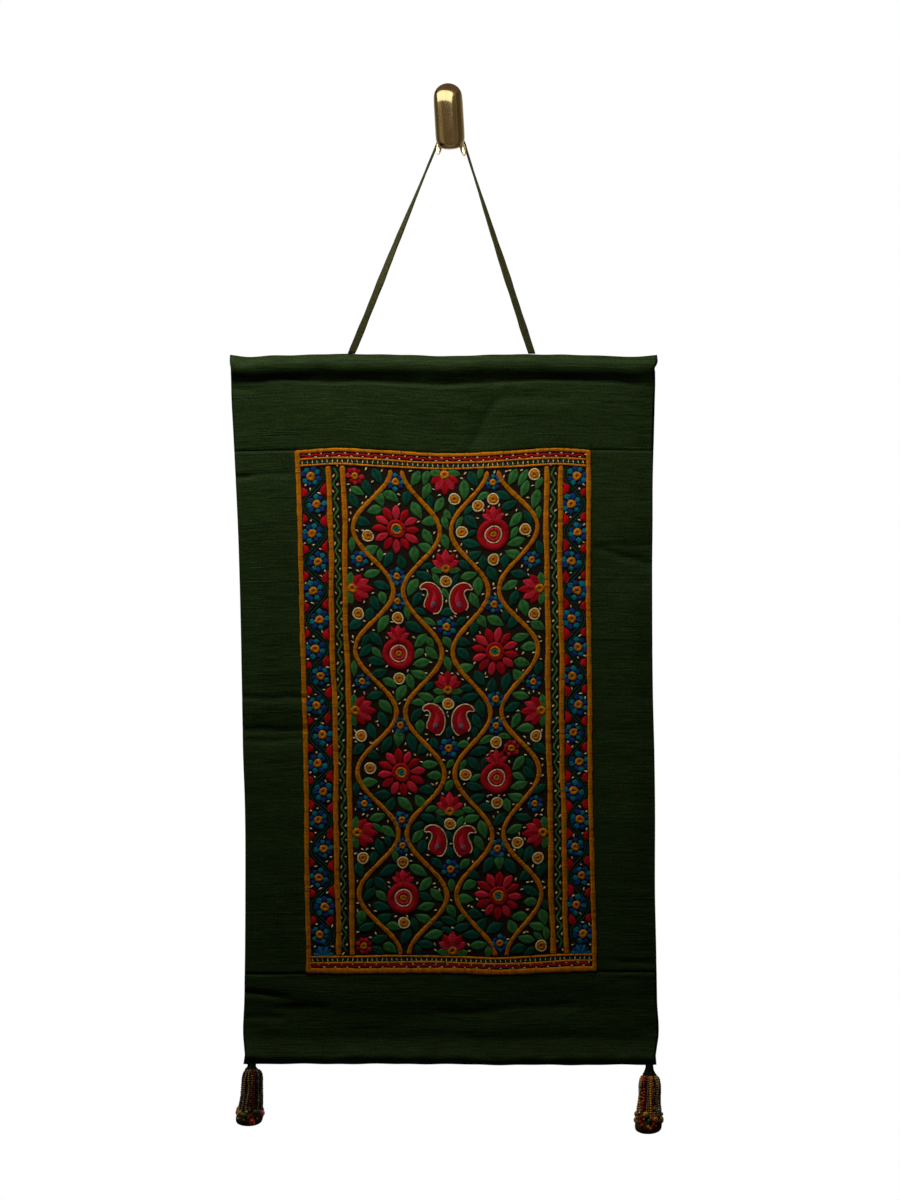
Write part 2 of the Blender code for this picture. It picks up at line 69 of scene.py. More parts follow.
# %% Camera
CLOTH_DEPTH = 0.0115
CAMERA_DISTANCE = 3.0
PICTURE_HEIGHT = 0.864
PICTURE_CENTRE = (0.0007, -0.3477)
SENSOR = 36.0
scene = bpy.context.scene


def put_in_scene(name, data):
    """A new object in the scene, from a camera, a lamp or a mesh."""
    made = bpy.data.objects.new(name, data)
    scene.collection.objects.link(made)
    return made


camera_data = bpy.data.cameras.new("camera")
camera_data.sensor_width = SENSOR
camera_data.lens = SENSOR * CAMERA_DISTANCE / PICTURE_HEIGHT
camera = put_in_scene("camera", camera_data)
camera.location = (PICTURE_CENTRE[0], -CLOTH_DEPTH - CAMERA_DISTANCE, PICTURE_CENTRE[1])
camera.rotation_euler = (math.radians(90.0), 0.0, 0.0)
scene.camera = camera
scene.view_settings.view_transform = "Standard"
print("lens", round(camera_data.lens, 1), "mm")


# %% Node helpers
def add_node(tree, kind, inputs=None, **settings):
    """Add one node, give it its settings, and either link or set each named input."""
    made = tree.nodes.new(kind)
    for name, value in settings.items():
        setattr(made, name, value)
    for name, value in (inputs or {}).items():
        if isinstance(value, bpy.types.NodeSocket):
            tree.links.new(value, made.inputs[name])
        else:
            made.inputs[name].default_value = value
    return made


def sums(tree, operation, first, second=0.0):
    """One arithmetic step on one value or between two."""
    return add_node(tree, "ShaderNodeMath", {0: first, 1: second}, operation=operation).outputs[0]


def ranged(tree, value, low, high, to_low=0.0, to_high=1.0):
    """Map a value from one range to another, held at both ends."""
    return add_node(tree, "ShaderNodeMapRange", {0: value, 1: low, 2: high, 3: to_low, 4: to_high}).outputs[0]


def ramp(tree, value, stops):
    """A colour ramp from (position, colour) stops."""
    made = add_node(tree, "ShaderNodeValToRGB", {"Fac": value})
    elements = made.color_ramp.elements
    while len(elements) < len(stops):
        elements.new(0.5)
    for element, (position, colour) in zip(elements, stops):
        element.position = position
        element.color = (*colour, 1.0)
    return made.outputs["Color"]


def new_material(name, roughness, specular, **sockets):
    """A material with its Principled shader, whose constant values sit on the shader's own sockets."""
    made = bpy.data.materials.new(name)
    made.use_nodes = True
    shader = made.node_tree.nodes["Principled BSDF"]
    sockets.update(Roughness=roughness, Specular_IOR_Level=specular)
    for socket, value in sockets.items():
        shader.inputs[socket.replace("_", " ")].default_value = value
    return made, made.node_tree, shader


def feed(node, **values):
    """Link values that change from place to place into a node's sockets."""
    for socket, value in values.items():
        node.id_data.links.new(value, node.inputs[socket.replace("_", " ")])


# %% World and lamps
# Brightness of the room from in front round to the pale wall behind, each with its way back (-1 to 1).
ROOM = ((0.0, 0.003), (0.15, 0.15), (0.55, 0.30), (0.90, 1.0))
ROOM_TINT, WHITE = (1.0, 0.92, 0.80, 1.0), (1.0, 1.0, 1.0, 1.0)
# Above and below, the room's light fades away as a ray's slope grows from the first to the second.
ROOM_SLOPES, ROOM_REST = (0.25, 0.5), 0.01
WARM_CARD = (1.0, 0.80, 0.55)
# Columns: name, place, what it is aimed at, width, height, brightness of its face, colour.
# The cards stand close round the hook like a small tent, and give its brass something dim and warm
# to mirror.
LAMPS = (
    ("overhead_softbox", (-0.26, -0.27, 0.26), (-0.15, 0.0, 0.08), 1.1, 0.34, 4.50, (1.0, 0.96, 0.90)),
    ("card_in_front", (-0.085, -0.075, 0.0), (-0.085, 0.0, 0.0), 0.34, 0.22, 0.28, WARM_CARD),
    ("card_left", (-0.22, -0.10, 0.0), (0.0, -0.02, 0.0), 0.20, 0.16, 0.32, (1.0, 0.78, 0.50)),
    ("card_right", (0.13, -0.02, 0.0), (0.0, -0.02, 0.0), 0.22, 0.22, 0.17, WARM_CARD),
    ("card_above", (0.0, -0.03, 0.11), (0.0, -0.03, 0.0), 0.26, 0.24, 0.30, WARM_CARD),
    ("card_below", (0.0, -0.03, -0.12), (0.0, -0.03, 0.0), 0.26, 0.24, 0.26, WARM_CARD),
)


def make_world():
    """A dim room that only lights the panel, and plain white wherever the camera looks past it."""
    made = bpy.data.worlds.new("studio")
    made.use_nodes = True
    tree = made.node_tree
    tree.nodes.clear()
    heading = add_node(tree, "ShaderNodeTexCoord").outputs["Generated"]
    ways = add_node(tree, "ShaderNodeSeparateXYZ", {0: heading}).outputs
    stops = [((way + 1.0) / 2.0, (bright,) * 3) for way, bright in ROOM]
    level = ranged(tree, sums(tree, "ABSOLUTE", ways["Z"]), *ROOM_SLOPES, 1.0, ROOM_REST)
    strength = sums(tree, "MULTIPLY", ramp(tree, ranged(tree, ways["Y"], -1.0, 1.0), stops), level)
    room = add_node(tree, "ShaderNodeBackground", {"Color": ROOM_TINT, "Strength": strength}).outputs[0]
    seen = add_node(tree, "ShaderNodeBackground", {"Color": WHITE}).outputs[0]
    to_camera = add_node(tree, "ShaderNodeLightPath").outputs["Is Camera Ray"]
    mixed = add_node(tree, "ShaderNodeMixShader", {0: to_camera, 1: room, 2: seen}).outputs[0]
    add_node(tree, "ShaderNodeOutputWorld", {"Surface": mixed})
    return made


def aim(item, target):
    """Turn an object so that its own -Z points at the target."""
    direction = np.array(target) - np.array(item.location)
    flat = math.hypot(direction[0], direction[1])
    tilt = math.atan2(flat, -direction[2])
    spin = math.atan2(-direction[0], direction[1])
    item.rotation_euler = (tilt, 0.0, spin)


scene.world = make_world()
for name, place, target, wide, high, brightness, colour in LAMPS:
    lamp_data = bpy.data.lights.new(name, "AREA")
    lamp_data.shape = "RECTANGLE"
    lamp_data.size, lamp_data.size_y = wide, high
    lamp_data.energy = brightness * math.pi * wide * high
    lamp_data.color = colour
    lamp = put_in_scene(name, lamp_data)
    lamp.location = place
    lamp.visible_camera = False
    aim(lamp, target)


# %% Floor
FLOOR_DROP, FLOOR_RADIUS, FLOOR_MIDDLE_Y = 1.3, 1.3, -0.95
# The lamps hardly reach the floor, so it is as bright as this to the camera alone, and stays pale.
FLOOR_GLOW, FLOOR_TINT = 0.58, (1.0, 0.985, 0.96, 1.0)
FLOOR_SHADES, FLOOR_SIDES = (0.80, 0.86), 96


def full_turn(count):
    """That many even angles round a full turn."""
    return np.linspace(0.0, 2.0 * math.pi, count, endpoint=False)


def make_floor(height):
    """A pale disc at a height, faintly mottled."""
    turns = full_turn(FLOOR_SIDES)
    rim = zip(FLOOR_RADIUS * np.cos(turns), FLOOR_RADIUS * np.sin(turns) + FLOOR_MIDDLE_Y)
    mesh = bpy.data.meshes.new("studio_floor")
    mesh.from_pydata([(x, y, height) for x, y in rim], [], [tuple(range(len(turns)))])
    paint, tree, shader = new_material("pale_floor", 0.8, 0.5, Emission_Color=FLOOR_TINT)
    to_camera = add_node(tree, "ShaderNodeLightPath").outputs["Is Camera Ray"]
    mottle = add_node(tree, "ShaderNodeTexNoise", {"Scale": 3.0}).outputs["Fac"]
    feed(shader, Emission_Strength=ranged(tree, to_camera, 0.0, 1.0, 0.0, FLOOR_GLOW))
    feed(shader, Base_Color=ranged(tree, mottle, 0.0, 1.0, *FLOOR_SHADES))
    mesh.materials.append(paint)
    return put_in_scene("studio_floor", mesh)


floor_z = cad_box[0][2] - FLOOR_DROP
make_floor(floor_z)
print("floor at", round(floor_z, 3), "m")

# %% [markdown]
# ## Shapes as arrays
# Every new surface here is a set of rings or rows worked out as a whole numpy array, then put
# into a mesh once. One helper turns the arrays into an object, gives it its material and joins it
# to the root body. Each point also keeps its place on the cloth or along its thread, so a material
# can follow the weave wherever the cloth bends.

# %% Array helpers
ROUTE_STEPS = 24


def join(*parts):
    """Arrays whose shapes fit each other, side by side as the last axis of one array."""
    return np.stack(np.broadcast_arrays(*parts), -1)


def unit(vectors):
    """Each vector at a length of one."""
    return vectors / np.linalg.norm(vectors, axis=-1, keepdims=True)


def step_lengths(route):
    """The length of each step from point to point."""
    return np.linalg.norm(np.diff(route, axis=0), axis=1)


def walked_along(route):
    """How far along the route each point lies."""
    return np.concatenate(([0.0], np.cumsum(step_lengths(route))))


def tube_faces(rows, sides, closed=False):
    """Corner numbers of a tube of rings: quads between rings, and a flat face on each end."""
    grid = np.arange(rows * sides).reshape(rows, sides)
    here = grid if closed else grid[:-1]
    after = np.roll(grid, -1, axis=0) if closed else grid[1:]
    quads = join(here, np.roll(here, -1, 1), np.roll(after, -1, 1), after).reshape(-1, 4)
    ends = [] if closed else [grid[0][::-1], grid[-1]]
    return quads, np.array(ends, dtype=int).reshape(-1, sides)


def sheet_faces(rows, columns):
    """Corner numbers of a closed sheet: a front grid, a back grid and the wall between them."""
    front = np.arange(rows * columns).reshape(rows, columns)
    back = front + rows * columns

    def between(first, second):
        """Quads between two rows of corners, or two stacks of rows."""
        return join(first[..., :-1], first[..., 1:], second[..., 1:], second[..., :-1]).reshape(-1, 4)

    walls = [between(front[0], back[0]), between(back[-1], front[-1])]
    walls += [between(back[:, 0], front[:, 0]), between(front[:, -1], back[:, -1])]
    return np.vstack([between(front[1:], front[:-1]), between(back[:-1], back[1:])] + walls)


def signed_volume(points, quads):
    """Six times the volume inside the quads, positive where they face outwards."""
    a, b, c, d = (points[quads[:, corner]] for corner in range(4))
    return float((np.cross(b - a, c - a) * a).sum() + (np.cross(c - a, d - a) * a).sum())


def make_piece(name, batches, finish, slot_name, *replaced):
    """One object from batches of (points, places, quads, end faces), riding on the root body.

    Points have shape (copies, points in a copy, 3), in metres. Each copy uses the batch's faces,
    shifted by its own first point, and faces are turned over where they enclose a negative volume.
    """
    points, places, faces, first = [], [], [], 0
    for batch_points, batch_places, *blocks in batches:
        copies, size = batch_points.shape[:2]
        flip = signed_volume(batch_points[0], blocks[0]) < 0
        for block in blocks:
            if len(block):
                block = block[:, ::-1] if flip else block
                shifts = first + size * np.arange(copies)
                faces += (shifts[:, None, None] + block[None]).reshape(-1, block.shape[1]).tolist()
        points.append(batch_points.reshape(-1, 3))
        places.append(batch_places.reshape(-1, 3))
        first += copies * size
    mesh = bpy.data.meshes.new(name)
    mesh.from_pydata(np.vstack(points), [], faces)
    mesh.update()
    mesh.shade_smooth()
    carried = mesh.attributes.new("place", "FLOAT_VECTOR", "POINT")
    carried.data.foreach_set("vector", np.vstack(places).ravel())
    mesh.materials.append(finish)
    made = put_in_scene(name, mesh)
    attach(made, "root")
    if replaced:
        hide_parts(*replaced)
    print(name, sum(len(face) - 2 for face in faces), "triangles")
    return made


def make_form(name, points, places, faces, *finish):
    """One object from a single set of points in millimetres."""
    return make_piece(name, [(points.reshape(1, -1, 3) * MM, places.reshape(1, -1, 3), *faces)], *finish)


def make_tube(name, points, places, *finish):
    """A closed tube, from its rings as an array of (rings, sides, 3)."""
    return make_form(name, points, places, tube_faces(*points.shape[:2]), *finish)


def make_sheet(name, points, places, *finish):
    """A closed sheet, from its front and back as an array of (2, rows, columns, 3)."""
    return make_form(name, points, places, [sheet_faces(*points.shape[1:3])], *finish)


def curve(position, knots, values):
    """A smooth line through a table's knots: between two knots it is the cubic that has, at each
    knot, the mean slope of the spans beside it."""
    knots, values = np.asarray(knots, float), np.asarray(values, float)
    slopes = np.gradient(values, knots)
    place = np.clip(np.asarray(position, float), knots[0], knots[-1])
    index = np.clip(np.searchsorted(knots, place) - 1, 0, len(knots) - 2)
    span = knots[index + 1] - knots[index]
    share = (place - knots[index]) / span
    rest = 1.0 - share
    ends = values[index] * (1.0 + 2.0 * share) * rest**2 + values[index + 1] * (3.0 - 2.0 * share) * share**2
    return ends + span * (slopes[index] * share * rest**2 - slopes[index + 1] * rest * share**2)


def smooth_route(route, stations):
    """Even stations on a Catmull-Rom curve through the rows of a route."""
    knots = np.array(route, dtype=float)
    padded = np.vstack((2 * knots[0] - knots[1], knots, 2 * knots[-1] - knots[-2]))
    steps = np.linspace(0.0, 1.0, ROUTE_STEPS, endpoint=False)[:, None]
    pieces = []
    for index in range(len(knots) - 1):
        before, start, end, after = padded[index : index + 4]
        cubic = 3 * start - before - 3 * end + after
        square = 2 * before - 5 * start + 4 * end - after
        pieces.append(start + 0.5 * steps * (end - before + steps * (square + steps * cubic)))
    fine = np.vstack(pieces + [knots[-1:]])
    walked = walked_along(fine[:, :3])
    marks = np.linspace(0.0, walked[-1], stations)
    return join(*(np.interp(marks, walked, column) for column in fine.T))


def shuffle(number, seed=0.0):
    """A repeatable number from 0 to 1 for each whole number, with no order that the eye can see."""
    return np.modf(np.abs(np.sin(np.asarray(number, float) * 12.9898 + seed * 78.233)) * 43758.5453)[0]


def stray_of(row, seed):
    """A repeatable stray from -0.5 to 0.5 for each thing in a row."""
    return shuffle(np.arange(len(row)), seed) - 0.5


def side_in_turn(row):
    """-1 and 1 in turn for the things in a row."""
    return np.where(np.arange(len(row)) % 2 == 0, -1.0, 1.0)


def way_of(turn):
    """The way that an angle points, one long."""
    return np.array((math.cos(turn), math.sin(turn)))


# %% [markdown]
# ## Raw silk
# Raw silk is woven from uneven yarn: fine threads lie across the panel, with a thick dark or
# bright slub here and there. A photograph of cloth could be wrapped on it, but noise stretched
# along the weft gives the same look at any distance, and it stays true where the cloth folds.
# The group puts out a tone for the colour and a height for the bump, and reads each point's own
# place on the cloth in millimetres.

# %% Group helper
def new_group(name, inputs, outputs):
    """A shader node group with named sockets. Returns its tree, its input node and its output node."""
    tree = bpy.data.node_groups.new(name, "ShaderNodeTree")
    for socket, kind, value in inputs:
        made = tree.interface.new_socket(name=socket, in_out="INPUT", socket_type=kind)
        if value is not None:
            made.default_value = value
    for socket, kind in outputs:
        tree.interface.new_socket(name=socket, in_out="OUTPUT", socket_type=kind)
    return tree, add_node(tree, "NodeGroupInput"), add_node(tree, "NodeGroupOutput")


FLOAT, VECTOR = "NodeSocketFloat", "NodeSocketVector"


def stretched_noise(tree, place, stretch, detail=2.0):
    """Noise whose lumps are as many times longer along each axis as the stretch is smaller."""
    scaled = add_node(tree, "ShaderNodeVectorMath", {0: place, 1: stretch}, operation="MULTIPLY")
    inputs = {"Vector": scaled.outputs[0], "Scale": 1.0, "Detail": detail}
    return add_node(tree, "ShaderNodeTexNoise", inputs).outputs["Fac"]


# %% Weave group
def make_weave_group():
    """Tone and height of slubbed plain weave: long streaks, rare thick slubs and a fine grain."""
    tree, given, result = new_group(
        "slubbed_weave",
        [("Place", VECTOR, None), ("Slubs", FLOAT, 1.0)],
        [("Tone", FLOAT), ("Height", FLOAT), ("Fleck", FLOAT)],
    )
    place = given.outputs["Place"]
    threads = stretched_noise(tree, place, (0.070, 0.80, 1.0), 3.0)
    dark_slubs = ranged(tree, stretched_noise(tree, place, (0.016, 0.80, 1.0)), 0.60, 0.67)
    light_slubs = ranged(tree, stretched_noise(tree, place, (0.030, 0.80, 3.0)), 0.62, 0.74)
    grain = stretched_noise(tree, place, (0.70, 0.95, 1.0))
    knots = ranged(tree, stretched_noise(tree, place, (0.30, 0.65, 5.0), 0.0), 0.78, 0.86)
    fine = ranged(tree, grain, 0.3, 0.7, 0.0, 0.56)
    tone = sums(tree, "ADD", ranged(tree, threads, 0.28, 0.72, -0.04, 0.52), fine)
    for operation, slubs, depth in (("SUBTRACT", dark_slubs, 0.55), ("ADD", light_slubs, 0.45)):
        shown = sums(tree, "MULTIPLY", sums(tree, "MULTIPLY", slubs, depth), given.outputs["Slubs"])
        tone = sums(tree, operation, tone, shown)
    tone = sums(tree, "SUBTRACT", tone, sums(tree, "MULTIPLY", knots, 0.6))
    height = sums(tree, "ADD", sums(tree, "MULTIPLY", threads, 0.7), sums(tree, "MULTIPLY", grain, 0.4))
    height = sums(tree, "ADD", height, sums(tree, "MULTIPLY", light_slubs, 0.5))
    fleck = ranged(tree, stretched_noise(tree, place, (0.9, 0.6, 9.0), 1.0), 0.42, 0.66)
    feed(result, Tone=tone, Height=height, Fleck=fleck)
    return tree


weave_group = make_weave_group()


# %% Material helpers
def place_of(tree):
    """The place that each point of a piece carries with it."""
    return add_node(tree, "ShaderNodeAttribute", attribute_name="place").outputs["Vector"]


def use_group(tree, group, **inputs):
    """A node group in a material, given the carried place and its own values. Returns its outputs."""
    inputs["Place"] = place_of(tree)
    return add_node(tree, "ShaderNodeGroup", inputs, node_tree=group).outputs


def mix_colours(tree, share, first, second):
    """Two colours, mixed by a share that changes over the surface."""
    return add_node(tree, "ShaderNodeMix", {0: share, 6: first, 7: second}, data_type="RGBA").outputs[2]


def bumped(tree, shader, height, distance):
    """Feed a height into the shader's normal, with its depth in metres."""
    bump = {"Height": height, "Distance": distance, "Strength": 1.0}
    feed(shader, Normal=add_node(tree, "ShaderNodeBump", bump).outputs[0])


# %% Silk material
# Shades of a dark slub, of plain thread, of a bright slub and of the brown warp.
FRAME_SILK = (
    (0.0062, 0.0155, 0.0031), (0.0166, 0.038, 0.0078), (0.0305, 0.071, 0.0142), (0.024, 0.024, 0.0082)
)
TAPE_SILK = ((0.014, 0.016, 0.0045), (0.038, 0.043, 0.0135), (0.066, 0.074, 0.023), (0.05, 0.032, 0.011))
# The knots' silk is the frame's silk darkened as painted shade, for the shade under the bottom sleeve.
KNOT_SILK_PAINTED_SHADE = ((0.003, 0.007, 0.0013), (0.009, 0.017, 0.0036), (0.017, 0.032, 0.0064), (0.012, 0.011, 0.0042))


def make_silk(name, shades):
    """Green weft over a brown warp: streaked green, with brown showing through in flecks."""
    made, tree, shader = new_material(name, 0.60, 0.085)
    weave = use_group(tree, weave_group, Slubs=1.0)
    green = ramp(tree, weave["Tone"], tuple(zip((0.05, 0.48, 0.95), shades)))
    shot = sums(tree, "MULTIPLY", weave["Fleck"], 0.35)
    feed(shader, Base_Color=mix_colours(tree, shot, green, (*shades[-1], 1.0)))
    bumped(tree, shader, weave["Height"], 0.00035)
    return made


silk = make_silk("raw_green_silk", FRAME_SILK)
olive_silk = make_silk("olive_silk", TAPE_SILK)
knot_silk_painted_shade = make_silk("knot_silk_painted_shade", KNOT_SILK_PAINTED_SHADE)

# %% [markdown]
# ## The hanging tape
# A flat silk tape, folded and sewn, runs from the top sleeve over the hook's saddle and back.
# It lies flat where it is sewn down and turns on edge at the hook. A bevelled curve would be
# round, so its flat section is carried along the route instead, turning as the route says.

# %% Tape route
TAPE_WIDTH, TAPE_THICKNESS = 5.2, 1.8
TAPE_STATIONS, TAPE_LEVEL_MM, TAPE_SIDES = 180, 9.0, 16
TAPE_FOLD_DEPTH, TAPE_FOLD_WIDTH = 0.22, 0.7
TO_WALL = np.array((0.0, 1.0, 0.0))
# Columns: x, y and z of its middle, and how many degrees its width has turned to the wall.
TAPE_ROUTE = (
    (-70.4, -9.5, -170.3, 0.0),
    (-64.5, -9.4, -156.2, 4.0),
    (-51.9, -9.2, -125.0, 18.0),
    (-42.1, -9.0, -100.4, 36.0),
    (-32.0, -8.8, -75.8, 58.0),
    (-21.8, -8.6, -51.2, 80.0),
    (-14.8, -8.5, -34.2, 90.0),
    (-10.4, -8.5, -23.7, 90.0),
    (-7.9, -8.5, -17.5, 90.0),
    (-5.7, -8.5, -14.2, 90.0),
    (-2.4, -8.5, -12.1, 90.0),
    (1.4, -8.5, -11.3, 90.0),
    (5.2, -8.5, -12.1, 90.0),
    (8.5, -8.5, -14.2, 90.0),
    (10.9, -8.5, -18.3, 90.0),
    (12.7, -8.5, -24.2, 90.0),
    (16.2, -8.6, -35.6, 90.0),
    (21.9, -8.7, -53.3, 78.0),
    (30.0, -8.9, -78.6, 56.0),
    (38.2, -9.1, -103.9, 34.0),
    (46.4, -9.3, -129.2, 16.0),
    (54.9, -9.4, -155.7, 4.0),
    (59.7, -9.5, -170.3, 0.0),
)


# %% Tape
def flattened(wave, power):
    """A sine or cosine with broader tops, by a power under one."""
    return np.sign(wave) * np.abs(wave) ** power


def make_tape():
    """A flattened oval carried along the route, turned by the route's last column.

    Round the section the width goes with the cosine and the thickness with the sine, both
    flattened by a power under one. A shallow fold line runs down the middle of each face.
    """
    stations = smooth_route(TAPE_ROUTE, TAPE_STATIONS)
    places = stations[:, :3]
    walked = walked_along(places)
    along = unit(np.gradient(places, axis=0))
    flat = unit(np.cross(along, TO_WALL))
    level = np.clip(1.0 - np.minimum(walked, walked[-1] - walked) / TAPE_LEVEL_MM, 0.0, 1.0)[:, None]
    flat = unit(flat * (1.0 - level) + np.array((1.0, 0.0, 0.0)) * np.sign(flat[:, :1]) * level)
    turn = np.radians(stations[:, 3])[:, None]
    wide = np.cos(turn) * flat + np.sin(turn) * TO_WALL
    thick = unit(np.cross(along, wide))
    angle = full_turn(TAPE_SIDES)
    across = flattened(np.cos(angle), 0.55) * TAPE_WIDTH / 2
    out = flattened(np.sin(angle), 0.45) * TAPE_THICKNESS / 2
    out = out * (1.0 - TAPE_FOLD_DEPTH * np.exp(-((across / TAPE_FOLD_WIDTH) ** 2)))
    uneven = 1.0 + 0.05 * np.sin(walked / 7.3) + 0.03 * np.sin(walked / 2.9 + 1.0)
    points = places[:, None] + wide[:, None] * (across[None] * uneven[:, None])[..., None]
    points = points + thick[:, None] * out[None, :, None]
    carried = join(across[None] * 3.0, walked[:, None], out[None])
    tape = make_tube("silk_hanging_tape", points, carried, olive_silk, "green_silk", "hanging_tape")
    print("tape length", round(walked[-1] * MM, 4), "m")


make_tape()

# %% [markdown]
# ## The cloth's own surface
# The cloth hangs from a rod in its top sleeve and is drawn straight by the one in its foot, so
# it is nearly flat, with wavering edges, broad swells and a few sharp creases where it was
# folded. A cloth simulation would give folds, but not these ones. Here each point of the cloth
# has a place across (u) and down (v), and functions give where it hangs: the wavering lines
# stretch the cloth, bumps push it forward, and creases are soft troughs along short lines.

# %% Cloth tables
PANEL_TOP, ROD_AXIS_DEPTH = -171.4, 9.5
SILK_HALF, EMBROIDERED_HALF = 0.75, 0.9
U_MARKS = (0.0, 43.0, 255.0, 299.0)
V_MARKS = (0.0, 69.0, 445.0, 510.0)
# The embroidery's own edges.
LEFT_EDGE, RIGHT_EDGE, TOP_EDGE, BOTTOM_EDGE = *U_MARKS[1:3], *V_MARKS[1:3]
# Columns: drop, left edge, embroidery's left, embroidery's right, right edge.
SIDES = (
    (0.0, -157.7, -111.9, 102.2, 149.8),
    (6.5, -157.5, -111.9, 102.2, 149.6),
    (9.4, -157.0, -111.9, 102.2, 148.0),
    (14.4, -157.0, -111.9, 102.2, 148.8),
    (20.9, -157.0, -111.8, 102.2, 148.6),
    (61.2, -155.2, -111.7, 102.2, 147.6),
    (90.0, -153.8, -110.0, 102.2, 146.9),
    (118.8, -152.4, -109.2, 102.2, 146.8),
    (176.4, -150.6, -108.0, 102.2, 146.5),
    (248.4, -149.2, -105.8, 103.0, 147.1),
    (284.4, -148.6, -105.1, 103.3, 148.0),
    (320.4, -147.3, -104.4, 103.7, 148.5),
    (392.4, -146.9, -103.7, 105.5, 148.6),
    (428.4, -147.1, -103.0, 106.6, 149.4),
    (464.4, -147.6, -103.0, 106.6, 150.0),
    (493.2, -148.1, -103.2, 106.4, 150.6),
    (501.8, -146.9, -103.2, 106.4, 148.8),
    (511.2, -148.2, -103.2, 106.4, 149.4),
)
# Columns: u, top edge, upper seam, lower seam, bottom edge.
LINES = (
    (0.0, -0.3, 69.4, 445.8, 510.6),
    (11.0, 1.1, 69.2, 445.8, 510.6),
    (30.0, 0.0, 68.8, 445.7, 510.6),
    (43.0, -0.3, 68.6, 445.6, 510.6),
    (76.0, -0.9, 67.0, 445.4, 510.6),
    (90.0, -1.0, 67.6, 445.4, 510.6),
    (105.0, -0.8, 68.4, 445.3, 510.6),
    (148.0, 0.4, 70.6, 445.4, 510.8),
    (184.0, -0.3, 69.8, 446.4, 511.3),
    (206.0, -0.9, 68.4, 445.6, 511.3),
    (231.0, -0.5, 67.0, 444.3, 511.3),
    (255.0, 0.0, 68.2, 444.0, 511.3),
    (270.0, 0.3, 68.4, 444.1, 511.2),
    (286.0, 1.1, 68.7, 444.2, 511.1),
    (299.0, -0.3, 68.8, 444.4, 511.1),
)
# Broad swells. Columns: middle u, middle v, half width, half height, forward.
WAVES = (
    (150.0, 22.0, 190.0, 28.0, 2.3),
    (60.0, 50.0, 50.0, 22.0, 0.8),
    (178.0, 50.0, 16.0, 24.0, -1.6),
    (232.0, 46.0, 34.0, 22.0, 1.2),
    (150.0, 250.0, 120.0, 190.0, 1.5),
    (292.0, 148.0, 26.0, 16.0, -2.0),
    (288.0, 190.0, 22.0, 26.0, 1.0),
    (14.0, 120.0, 22.0, 30.0, 1.2),
    (18.0, 272.0, 30.0, 12.0, -1.5),
    (284.0, 330.0, 26.0, 40.0, 1.2),
    (96.0, 462.0, 60.0, 11.0, 1.2),
    (150.0, 474.0, 46.0, 9.0, -1.3),
    (40.0, 471.0, 36.0, 9.0, -1.3),
    (236.0, 468.0, 50.0, 10.0, -0.9),
    (200.0, 483.0, 70.0, 9.0, 0.7),
)
# Creases. Columns: start u, start v, end u, end v, half width, forward (a trough is negative).
CREASES = (
    (-4.0, 24.5, 13.0, 24.2, 1.3, -0.9),
    (0.0, 87.8, 8.0, 87.2, 1.8, -1.5),
    (6.0, 87.4, 35.0, 85.0, 2.2, -0.6),
    (186.0, 34.0, 168.0, 67.0, 3.4, -0.9),
    (192.0, 30.0, 236.0, 33.0, 4.0, -0.8),
    (284.0, 65.6, 298.0, 65.0, 1.3, -0.7),
    (262.0, 140.4, 299.0, 151.4, 2.6, -1.3),
    (264.0, 137.5, 299.0, 136.8, 1.8, -0.7),
    (0.0, 246.0, 44.0, 246.8, 2.0, -1.0),
    (0.0, 268.8, 43.0, 270.4, 2.4, -1.1),
    (2.0, 277.6, 40.0, 276.8, 2.0, -0.9),
    (0.0, 457.0, 28.0, 462.4, 1.9, -1.2),
    (272.0, 437.2, 299.0, 439.0, 1.8, -1.0),
    (3.0, 459.4, 26.0, 459.8, 1.8, -0.7),
    (26.0, 468.6, 57.0, 468.9, 2.0, -0.9),
    (-2.0, 476.6, 26.0, 476.2, 1.9, -0.9),
    (143.0, 473.0, 178.0, 472.6, 2.0, -0.9),
    (129.0, 488.0, 157.0, 488.3, 1.8, -0.8),
    (178.0, 468.6, 236.0, 469.0, 2.3, -0.8),
)
SIDE_EDGE_CURL, SIDE_EDGE_REACH = 1.6, 9.0
TOP_STITCHING, BOTTOM_STITCHING = 19.0, 19.0
# How far the top sleeve's line of stitching strays downwards. Columns: u, stray.
STITCHING_STRAY = (
    (0.0, 0.0),
    (54.0, -0.2),
    (65.0, 1.5),
    (77.0, 1.2),
    (88.0, 0.6),
    (108.0, 1.1),
    (126.0, 1.2),
    (147.0, 2.0),
    (170.0, 1.0),
    (200.0, 0.4),
    (261.0, -0.2),
    (276.0, 0.2),
    (286.0, 1.6),
    (299.0, 2.4),
)


# %% Cloth functions
def stretched(place, marks, lines):
    """Blend from line to line: each next line's step is taken in between its two marks."""
    total = lines[0]
    for index in range(len(marks) - 1):
        share = np.clip((place - marks[index]) / (marks[index + 1] - marks[index]), 0.0, 1.0)
        total = total + (lines[index + 1] - lines[index]) * share
    return total


def table_lines(table, position):
    """Each later column of a table as a smooth curve, read at the positions."""
    columns = np.array(table).T
    return [curve(position, columns[0], later) for later in columns[1:]]


def drop_at(u, v):
    """Drop below the top edge of a cloth point."""
    return stretched(v, V_MARKS, table_lines(LINES, u))


def across_at(u, drop):
    """Sideways place of a cloth point at its drop."""
    return stretched(u, U_MARKS, table_lines(SIDES, drop))


